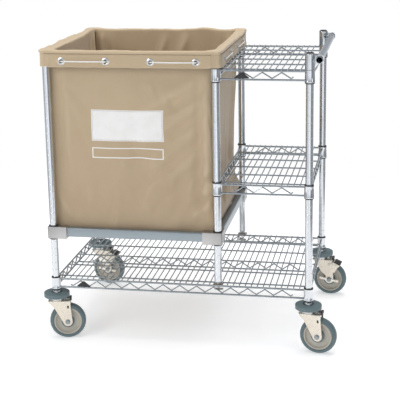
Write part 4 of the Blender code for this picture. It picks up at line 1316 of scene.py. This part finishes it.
def make_patch_seam(tree, name, size, foot):
    """Short stitches just inside a patch's edge."""
    bm = bmesh.new()
    inset = 0.0035
    pitch = 0.0055
    corners = [(inset, inset), (size[0] - inset, inset)]
    corners += [(size[0] - inset, size[1] - inset), (inset, size[1] - inset)]
    for (x0, z0), (x1, z1) in zip(corners, corners[1:] + corners[:1]):
        along = Vector((x1 - x0, 0, z1 - z0))
        steps = int(along.length / pitch)
        for i in range(steps):
            ends = []
            for t in (i / steps, (i + 0.62) / steps):
                place = Vector((LABEL_X + x0, FRONT_Y - 0.05, foot + z0)) + along * t
                ends.append(on_cloth(tree, place, ALONG_Y, 0.2)[0])
            lift = Vector((0, -0.0008, 0))
            stitch(bm, ends[0] + lift, ends[1] + lift, -ALONG_Y, 0.0004)
    return piece(name, bm, "white_cord", finish=THREAD)


CORNER_CORD_RADIUS = 0.0019
CORNER_CORD_STEPS = 44


def make_corner_dark_cords(tree):
    """A dark cord down the inside of each rear corner."""
    bm = bmesh.new()
    top = HEM_TOP - 0.012
    foot = BAG_BOTTOM + 0.030
    for side in (-1, 1):
        outward = Vector((side, 1, 0)).normalized()
        corner = BAG_MIDDLE + Vector((side * (BAG_HALF.x - BAG_INSET), BAG_HALF.y - BAG_INSET, 0))
        points = []
        for i in range(CORNER_CORD_STEPS):
            z = top + (foot - top) * i / (CORNER_CORD_STEPS - 1)
            start = corner - outward * 0.045 + Vector((0, 0, z))
            hit = on_cloth(tree, start, outward, 0.08)[0]
            if hit:
                points.append(hit - outward * CORNER_CORD_RADIUS * 0.6)
        sweep(bm, points, CORNER_CORD_RADIUS, 8)
    return piece("bag_corner_dark_cords", bm, "bag_cloth", finish=THREAD)


def dress_bag():
    """The bag with everything sewn or fixed to it."""
    bag = make_bag()
    tree = BVHTree.FromObject(bag, bpy.context.evaluated_depsgraph_get())
    fixed = [make_grommets(), make_stitches(tree), make_corner_dark_cords(tree), make_label(tree)]
    fixed += [make_patch_seam(tree, "bag_label_seam", LABEL_SIZE, LABEL_FOOT), make_outline(tree)]


# The handle.

HANDLE_Z = middle("handle_tube").z
HANDLE_X = middle("handle_tube").x
HANDLE_RADIUS = (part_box("handle_tube")[1].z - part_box("handle_tube")[0].z) / 2


def lying(y):
    """A place on the handle's axis for a shape along it."""
    return upright(HANDLE_X, y, HANDLE_Z) @ Matrix.Rotation(-math.pi / 2, 4, "X")


def make_handle():
    """An open tube held in two clamps, each on a sleeve over its post's end."""
    low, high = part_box("handle_tube")
    edge = 0.0006
    inside = HANDLE_RADIUS - 0.0015
    profile = [(inside, low.y + edge), (inside + edge, low.y), (HANDLE_RADIUS - edge, low.y)]
    profile += [(HANDLE_RADIUS, low.y + edge), (HANDLE_RADIUS, high.y - edge)]
    profile += [(HANDLE_RADIUS - edge, high.y), (inside + edge, high.y), (inside, high.y - edge)]
    turned("handle_tube_steel", profile, 48, lying(0), "frame_steel", ["handle_tube"], True)
    for row, y in ROWS.items():
        make_bracket(row, y)


def make_bracket(row, y):
    name = f"handle_bracket_{row}"
    low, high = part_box(name)
    outer = RIGHT_X - low.x
    inner = POST_RADIUS + 0.0003
    round_off = 0.0030
    reach = HANDLE_X - RIGHT_X
    sleeve_wall = [(inner, low.z), (outer - 0.0008, low.z), (outer, low.z + 0.0008)]
    sleeve_wall += arc((outer - round_off, high.z - round_off), round_off, 0, 70, 6)
    sleeve_wall += [(inner, high.z)]
    bm = bmesh.new()
    lathe(bm, sleeve_wall, 40, upright(RIGHT_X, y), closed=True)
    ring_out = HANDLE_RADIUS + 0.0019
    half = 0.011
    ring = [(HANDLE_RADIUS + 0.0003, -half), (ring_out - 0.001, -half), (ring_out, -half + 0.001)]
    ring += [(ring_out, half - 0.001), (ring_out - 0.001, half), (HANDLE_RADIUS + 0.0003, half)]
    lathe(bm, ring, 40, lying(y), closed=True)
    side = upright(RIGHT_X, y, HANDLE_Z) @ UPRIGHT
    gap_from, gap_to = outer - 0.0012, reach - ring_out + 0.003
    web = [(gap_from, 0.0125), (gap_to + 0.004, 0.0105), (gap_to, 0), (gap_to + 0.004, -0.0105)]
    web += [(reach - 0.001, -ring_out + 0.001), (gap_from, -0.0300), (gap_from, -0.0120)]
    prism(bm, web, -0.0045, 0.0045, side, 0.0008)
    nut = upright(RIGHT_X - outer + 0.0006, y, (low.z + high.z) / 2 - 0.004)
    bolt_head(bm, nut @ Matrix.Rotation(-math.pi / 2, 4, "Y"), 0.0030, 0.0006, 24)
    piece(f"{name}_clamp", bm, "chrome", stands_for=[name])


# Casters, each made about its swivel axis with the wheel trailing to +X.

TRAIL = 0.035
FORK_INSIDE = 0.019
FORK_OUTSIDE = 0.022
CROWN_TOP = 0.1405
CROWN_BOTTOM = 0.1368
FOOT_BAR = (0.074, 0.002, 0.0095)
BRAKE_PIN = (0.036, 0.1205)  # along and up
WHEEL_LIFT = 0.0002  # the tyre's air over the floor


def caster_frame(corner):
    """The swivel's place and heading as a matrix, from the joints."""
    spin = Vector(JOINTS[f"wheel_spin_{corner}"]["axis"])
    swivel = Vector(JOINTS[f"swivel_{corner}"]["pos_m"])
    heading = math.atan2(-spin.x, spin.y)
    return upright(swivel.x, swivel.y) @ Matrix.Rotation(heading, 4, "Z")


def axle_height(corner):
    """The height of a wheel's axle over the floor."""
    return JOINTS[f"wheel_spin_{corner}"]["pos_m"][2]


def on_axle(corner, at):
    """A place for a shape turned about the wheel's axle."""
    return at @ upright(TRAIL, 0, axle_height(corner)) @ UPRIGHT


def make_bumper(corner, at):
    name = f"caster_bumper_{corner}"
    low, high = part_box(name)
    radius = (high.x - low.x) / 2
    bore = 0.0131
    edge = 0.0018
    fall = 0.0014  # the upper face's slope, from its middle out
    side_top, side_low = high.z - fall, low.z + 0.0022
    profile = [(bore, high.z - 0.0030), (bore + 0.0040, high.z - 0.0030)]
    profile += [(bore + 0.0062, high.z), (bore + 0.0090, high.z)]
    profile += arc((radius - edge, side_top - edge), edge, 84, 0, 6)
    profile += arc((radius - edge, side_low + edge), edge, 0, -50, 5)
    profile += [(radius - 0.0095, low.z), (bore, low.z)]
    turned(f"{name}_donut", profile, 64, at, "bumper_rubber", [name], True)


def make_stem(corner, at):
    """A plug in the post, a flange, a plate over the bearing and the kingpin's nut."""
    name = f"caster_stem_{corner}"
    low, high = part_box(name)
    post_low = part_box(f"post_{corner}")[0].z
    plug = POST_RADIUS - POST_WALL - 0.0004
    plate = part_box(f"caster_bumper_{corner}")[0].z - 0.0003
    race = CROWN_TOP + 0.0043
    profile = [(0, high.z), (plug - 0.001, high.z), (plug, high.z - 0.001), (plug, post_low)]
    profile += [(0.0121, post_low - 0.0004), (0.0125, post_low - 0.0010), (0.0125, plate)]
    profile += [(0.0272, plate), (0.0280, plate - 0.0010), (0.0262, race + 0.0004), (0.0250, race)]
    profile += [(0.0060, race), (0.0060, CROWN_BOTTOM)]
    profile += [(0.0088, CROWN_BOTTOM - 0.0003), (0.0088, low.z + 0.0006), (0.0080, low.z)]
    profile += [(0, low.z)]
    bright = FINISHES["chrome"]
    turned(f"{name}_mount", profile, 48, at, "zinc_plate", [name], finish=bright)


def fork_side(corner, braked):
    """A leg's outline in the caster's plane. The braked ones are wider above the axle."""
    axle_z = axle_height(corner)
    foot_radius = 0.0168
    lead = [(-0.0298, CROWN_TOP, 0), (-0.0278, 0.134, 0), (-0.0112, 0.117, 0)]
    if braked:
        lead += [(0.0035, 0.0915, 0), (0.0200, 0.0778, 0)]
    turn_from = 150 if braked else 192
    foot = [(x, z, 0) for x, z in arc((TRAIL, axle_z), foot_radius, turn_from, 360, 16)]
    side = rounded([*lead, *foot[:1]], 0.006, 4) + [Vector(p) for p in foot[1:]]
    side += rounded([foot[-1], (0.0465, 0.124, 0), (0.0475, CROWN_TOP, 0)], 0.02, 3)[1:]
    return [(p.x, p.y) for p in side]


def make_fork(corner, at, braked):
    """Pressed sheet: a crown over the wheel, two tapering legs, and a raised ball race."""
    name = f"caster_fork_{corner}"
    bm = bmesh.new()
    outline = fork_side(corner, braked)
    prism(bm, outline, -FORK_OUTSIDE, FORK_OUTSIDE, at @ UPRIGHT, 0.0030, 3)
    fork = piece(f"{name}_sheet", bm, "zinc_plate", f"caster_{corner}", [name])
    hollow = bmesh.new()
    centre = (0, 0, CROWN_BOTTOM - 0.1)
    block(hollow, (0.2, 2 * FORK_INSIDE, 0.2), centre, 0.0025, 3)
    cut(fork, moved(hollow, at))
    window = bmesh.new()
    if braked:
        spot = upright(BRAKE_PIN[0], 0, BRAKE_PIN[1]) @ UPRIGHT
        lathe(window, [(0, -0.06), (0.0020, -0.06), (0.0020, 0.06), (0, 0.06)], 16, spot)
    else:
        block(window, (0.0062, 0.12, 0.0105), (0.0375, 0, 0.1180), 0.0008)
    cut(fork, moved(window, at))
    race = [(0.0064, CROWN_TOP - 0.001), (0.0064, CROWN_TOP + 0.0040), (0.0190, CROWN_TOP + 0.0040)]
    race += arc((0.0205, CROWN_TOP + 0.0010), 0.0030, 80, 0, 6) + [(0.0250, CROWN_TOP + 0.0004)]
    race += [(0.0250, CROWN_TOP - 0.001)]
    body = f"caster_{corner}"
    turned(f"caster_race_{corner}", race, 48, at, "zinc_plate", closed=True, body=body)
    make_catch(corner, at)
    if braked:
        make_foot_bars(corner, at)


def make_catch(corner, at):
    """A grey steel catch standing on the crown's trailing end, with a black block at its trailing side
    as painted shadow.
    """
    steel = ((0.0165, 0.026, 0.0085), (0.0415, 0, CROWN_TOP + 0.0036), 0.0016, 3)
    # Painted shadow: a black block stands where the catch casts shade on its trailing side.
    painted_shadow_block = ((0.0062, 0.0275, 0.0096), (0.0475, 0, CROWN_TOP + 0.0034), 0.0008, 2)
    kinds = (("catch", steel, "zinc_plate", CATCH), ("painted_shadow_block", painted_shadow_block, "black_plastic", None))
    for kind, shape, slot, finish in kinds:
        part = bmesh.new()
        block(part, *shape)
        piece(f"caster_{kind}_{corner}", moved(part, at), slot, f"caster_{corner}", finish=finish)


def make_foot_bars(corner, at):
    """The pressed bar across the foot of each braked leg."""
    length, thick, tall = FOOT_BAR
    axle_z = axle_height(corner)
    slope = Matrix.Rotation(math.radians(8), 3, "Y")
    part = bmesh.new()
    for side in (-1, 1):
        y = side * (FORK_OUTSIDE + thick / 2)
        block(part, (length, thick, tall), (TRAIL, y, axle_z), 0.0008, turn=slope)
        for end in (-1, 1):
            rib = Vector((TRAIL, side * (FORK_OUTSIDE + thick), axle_z))
            rib += slope @ Vector((end * 0.0260, 0, 0))
            block(part, (0.014, 0.0008, 0.0034), rib, 0.0003, turn=slope)
    piece(f"caster_foot_bars_{corner}", moved(part, at), "zinc_plate", f"caster_{corner}")


def make_axle(corner, at):
    """A domed head on a washer at each side of the fork."""
    name = f"caster_axle_{corner}"
    half = FORK_OUTSIDE + 0.0003 + (FOOT_BAR[1] if corner.startswith("rear") else 0)
    head = [(0.0048, half), (0.0088, half), (0.0088, half + 0.0010), (0.0078, half + 0.0013)]
    head += [(0.0074, half + 0.0026), (0.0058, half + 0.0042), (0.0030, half + 0.0050)]
    bolt = [(0, -half - 0.0050), *mirrored(head), *head, (0, half + 0.0050)]
    looks = {"body": f"caster_{corner}", "finish": FINISHES["frame_steel"]}
    turned(f"{name}_bolt", bolt, 32, on_axle(corner, at), "chrome", [name], **looks)


def make_wheel(corner, at):
    """A moulded core with a raised rim, dish and hub, in a tyre with a crowned tread."""
    radius = axle_height(corner) - WHEEL_LIFT
    spot = on_axle(corner, at)
    body = f"wheel_{corner}"
    rim = radius - 0.0141
    lip = 0.0140
    half = [(0.0053, 0.0181), (0.0125, 0.0181), (0.0140, 0.0170), (0.0146, 0.0088)]
    half += [(0.0170, 0.0064), (0.0380, 0.0056), (0.0418, 0.0072), (0.0432, 0.0128)]
    half += [(0.0440, lip), (rim - 0.0012, lip), (rim, lip - 0.0010)]
    core, tyre = f"wheel_core_{corner}", f"tyre_{corner}"
    shape = half + mirrored(half)
    turned(f"{core}_moulding", shape, 72, spot, "wheel_plastic", [core], body=body)
    inner = rim + 0.0003
    wide = 0.0155
    tread = [(inner, wide - 0.0022), (inner + 0.0010, wide - 0.0006), (inner + 0.0022, wide)]
    tread += [(radius - 0.0068, wide)]
    tread += [(radius - 0.0036, wide - 0.0022), (radius - 0.0014, wide - 0.0060)]
    tread += [(radius - 0.0003, wide - 0.0105), (radius, 0.0)]
    shape = tread + mirrored(tread[:-1])
    turned(f"{tyre}_rubber", shape, 96, spot, "tyre_rubber", [tyre], True, body=body)
    bm = bmesh.new()
    seal = [(0.0120, 0.0166), (0.0216, 0.0150), (0.0224, 0.0140), (0.0226, 0.0050)]
    seal += [(0.0120, 0.0050)]
    lathe(bm, seal, 40, spot, closed=True)
    lathe(bm, [(r, -h) for r, h in seal], 40, spot, closed=True)
    piece(f"wheel_seals_{corner}", bm, "tyre_rubber", body)


PAD_ANGLE = math.radians(24)  # about the axle, from straight up
PAD_OUT = 0.0685
PAD_SIZE = (0.030, 0.0502, 0.004)


def make_brake(corner, at):
    """An arm outside each leg, and a ribbed pad across them over the tyre."""
    name = f"brake_lever_{corner}"
    px, pz = BRAKE_PIN
    axle = Vector((TRAIL, 0, axle_height(corner)))
    tilt = Matrix.Rotation(PAD_ANGLE, 3, "Y")
    pad = axle + tilt @ Vector((0, 0, PAD_OUT))
    far = pad + tilt @ Vector((PAD_SIZE[0] / 2 - 0.001, 0, 0))
    near = pad - tilt @ Vector((PAD_SIZE[0] / 2 - 0.001, 0, 0))
    arm = [(far.x, far.z, 0), (near.x, near.z, 0)]
    arm += [(x, z, 0) for x, z in arc((px, pz), 0.008, 110, 250, 14)]
    lower = [(0.050, 0.092, 0), (0.056, 0.0915, 0), (0.066, 0.110, 0), arm[0]]
    outline = [(p[0], p[1]) for p in arm]
    outline += [(p.x, p.y) for p in rounded([arm[-1], *lower], 0.003, 3)[1:-1]]
    bm = bmesh.new()
    inner = FORK_OUTSIDE + 0.0003
    for side in (-1, 1):
        near_face, far_face = sorted((-side * inner, -side * (inner + 0.002)))
        prism(bm, outline, near_face, far_face, at @ UPRIGHT, 0.0006)
        rivet = at @ upright(px, side * (inner + 0.002), pz)
        rivet = rivet @ Matrix.Rotation(-side * math.pi / 2, 4, "X")
        ring = [(0.0020, -0.0002), (0.0020, 0.0008), (0.0028, 0.0014), (0.0042, 0.0008)]
        lathe(bm, [*ring, (0.0046, -0.0002)], 24, rivet, closed=True)
    part = bmesh.new()
    block(part, PAD_SIZE, pad, 0.0012, 3, tilt)
    merge(bm, part, at)
    body = f"brake_{corner}"
    piece(f"{name}_arms", bm, "zinc_plate", body, [name])
    part = bmesh.new()
    upper = pad + tilt @ Vector((0.0015, 0, 0.0030))
    block(part, (0.0250, 0.0440, 0.0034), upper, 0.0012, 3, tilt)
    for i in range(5):
        rib = tilt @ Vector((-0.0096 + 0.0048 * i, 0, 0.0018))
        block(part, (0.0020, 0.0440, 0.0016), upper + rib, 0.0005, 1, tilt)
    piece(f"{name}_pad", moved(part, at), "black_plastic", body)


def make_casters():
    for corner in CORNERS:
        at = caster_frame(corner)
        fixed = Matrix.Translation(at.to_translation())
        make_bumper(corner, fixed)
        make_stem(corner, fixed)
        make_fork(corner, at, corner.startswith("rear"))
        make_axle(corner, at)
        make_wheel(corner, at)
        if corner.startswith("rear"):
            make_brake(corner, at)


# The stage: floor, light and camera.

FLOOR_HALF = (1.7, 1.7)
FLOOR_MIDDLE = (-0.1, 0.35)


def make_floor():
    """A pale floor that glows a little, so that it meets the paper behind it unseen."""
    bm = bmesh.new()
    bmesh.ops.create_grid(bm, x_segments=1, y_segments=1, size=1)
    size = Matrix.Diagonal((*FLOOR_HALF, 1, 1))
    moved(bm, upright(*FLOOR_MIDDLE) @ size)
    mesh = bpy.data.meshes.new("floor")
    bm.to_mesh(mesh)
    bm.free()
    floor = bpy.data.objects.new("floor", mesh)
    bpy.context.scene.collection.objects.link(floor)
    f = Finish("floor", (0.80, 0.80, 0.81), 0.9)
    f.shader.inputs["Specular IOR Level"].default_value = 0.1
    f.shader.inputs["Emission Color"].default_value = (1, 1, 1, 1)
    f.shader.inputs["Emission Strength"].default_value = 0.46
    mesh.materials.append(f.material)


def softbox(name, place, target, size, power):
    data = bpy.data.lights.new(name, "AREA")
    data.shape = "RECTANGLE"
    data.size, data.size_y = size
    data.energy = power
    lamp = bpy.data.objects.new(name, data)
    bpy.context.scene.collection.objects.link(lamp)
    lamp.location = place
    lamp.rotation_euler = (Vector(target) - Vector(place)).to_track_quat("-Z", "Y").to_euler()
    return lamp


# The room's brightness as (place, grey), from below to above and from left to right. The
# metal mirrors it, and the dark bands make its stripes.
BY_HEIGHT = ((0.0, 0.70), (0.38, 1.32), (0.52, 1.0), (0.60, 0.50), (0.78, 0.36), (1.0, 0.48))
BY_SIDE = (
    (0.0, 0.60), (0.06, 0.30), (0.15, 0.80), (0.29, 1.0), (0.315, 0.30),
    (0.35, 0.34), (0.38, 1.0), (0.74, 0.95), (0.86, 0.14), (0.95, 0.3),
)


def make_light():
    """Three soft lamps, a room for the metal to mirror, and white paper behind."""
    softbox("key", (-1.6, -2.1, 1.9), (0.1, 0, 0.7), (1.15, 0.95), 20)
    softbox("fill", (3.4, -2.2, 2.0), (0, 0, 0.6), (1.4, 2.2), 12)
    softbox("overhead", (0.1, 0.3, 3.6), (0, 0, 0), (3.2, 3.2), 98).visible_glossy = False
    world = bpy.data.worlds.new("studio")
    bpy.context.scene.world = world
    world.use_nodes = True
    tree = world.node_tree
    tree.nodes.clear()
    add, link = tree.nodes.new, tree.links.new
    output = add("ShaderNodeOutputWorld")
    room, paper = (add("ShaderNodeBackground") for _ in range(2))
    paper.inputs["Color"].default_value = (1, 1, 1, 1)
    coords = add("ShaderNodeTexCoord")
    split = add("ShaderNodeSeparateXYZ")
    link(coords.outputs["Generated"], split.inputs[0])
    both = add("ShaderNodeMix")
    both.data_type = "RGBA"
    both.blend_type = "MULTIPLY"
    sockets = {socket.identifier: socket for socket in both.inputs}
    sockets["Factor_Float"].default_value = 1.0
    for axis, stops, into in (("Z", BY_HEIGHT, "A_Color"), ("X", BY_SIDE, "B_Color")):
        where = add("ShaderNodeMapRange")
        where.inputs["From Min"].default_value = -1
        ramp = add("ShaderNodeValToRGB")
        link(split.outputs[axis], where.inputs["Value"])
        link(where.outputs["Result"], ramp.inputs["Fac"])
        link(ramp.outputs["Color"], sockets[into])
        for number, (position, grey) in enumerate(stops):
            first_or_last = number in (0, len(stops) - 1)
            elements = ramp.color_ramp.elements
            stop = elements[0 if number == 0 else -1] if first_or_last else elements.new(position)
            stop.position = position
            stop.color = (grey, grey * 1.01, grey * 1.03, 1)
    mixed = next(socket for socket in both.outputs if socket.identifier == "Result_Color")
    link(mixed, room.inputs["Color"])
    path = add("ShaderNodeLightPath")
    choose = add("ShaderNodeMixShader")
    link(path.outputs["Is Camera Ray"], choose.inputs["Fac"])
    link(room.outputs[0], choose.inputs[1])
    link(paper.outputs[0], choose.inputs[2])
    link(choose.outputs[0], output.inputs["Surface"])


def make_camera():
    """A long lens from the front right, a little above the trolley."""
    data = bpy.data.cameras.new("camera")
    data.sensor_width = 36
    data.lens = 100.27
    data.shift_y = -0.1
    camera = bpy.data.objects.new("camera", data)
    bpy.context.scene.collection.objects.link(camera)
    bpy.context.scene.camera = camera
    camera.location = (0.7064, -3.7983, 1.5214)
    yaw, pitch, roll = 0.1846, 0.2380, -0.0170
    flat = math.cos(pitch)
    forward = Vector((-math.sin(yaw) * flat, math.cos(yaw) * flat, -math.sin(pitch)))
    level = Vector((math.cos(yaw), math.sin(yaw), 0))
    up = level.cross(forward)
    right = level * math.cos(roll) + up * math.sin(roll)
    up = right.cross(forward)
    turn = Matrix((right, up, -forward)).transposed()
    camera.rotation_euler = turn.to_euler()


bpy.context.scene.view_settings.view_transform = "Standard"
make_camera()
make_light()
make_floor()
make_posts()
make_shelves()
make_badges()
make_feet()
make_frame_tubes()
make_castings()
dress_bag()
make_lace()
make_handle()
make_casters()
# The hem hides the upper frame, so its CAD shape stays.
hidden = frame["nodes"]["upper_bag_frame"].data
hidden.materials.clear()
hidden.materials.append(FINISHES["frame_steel"])
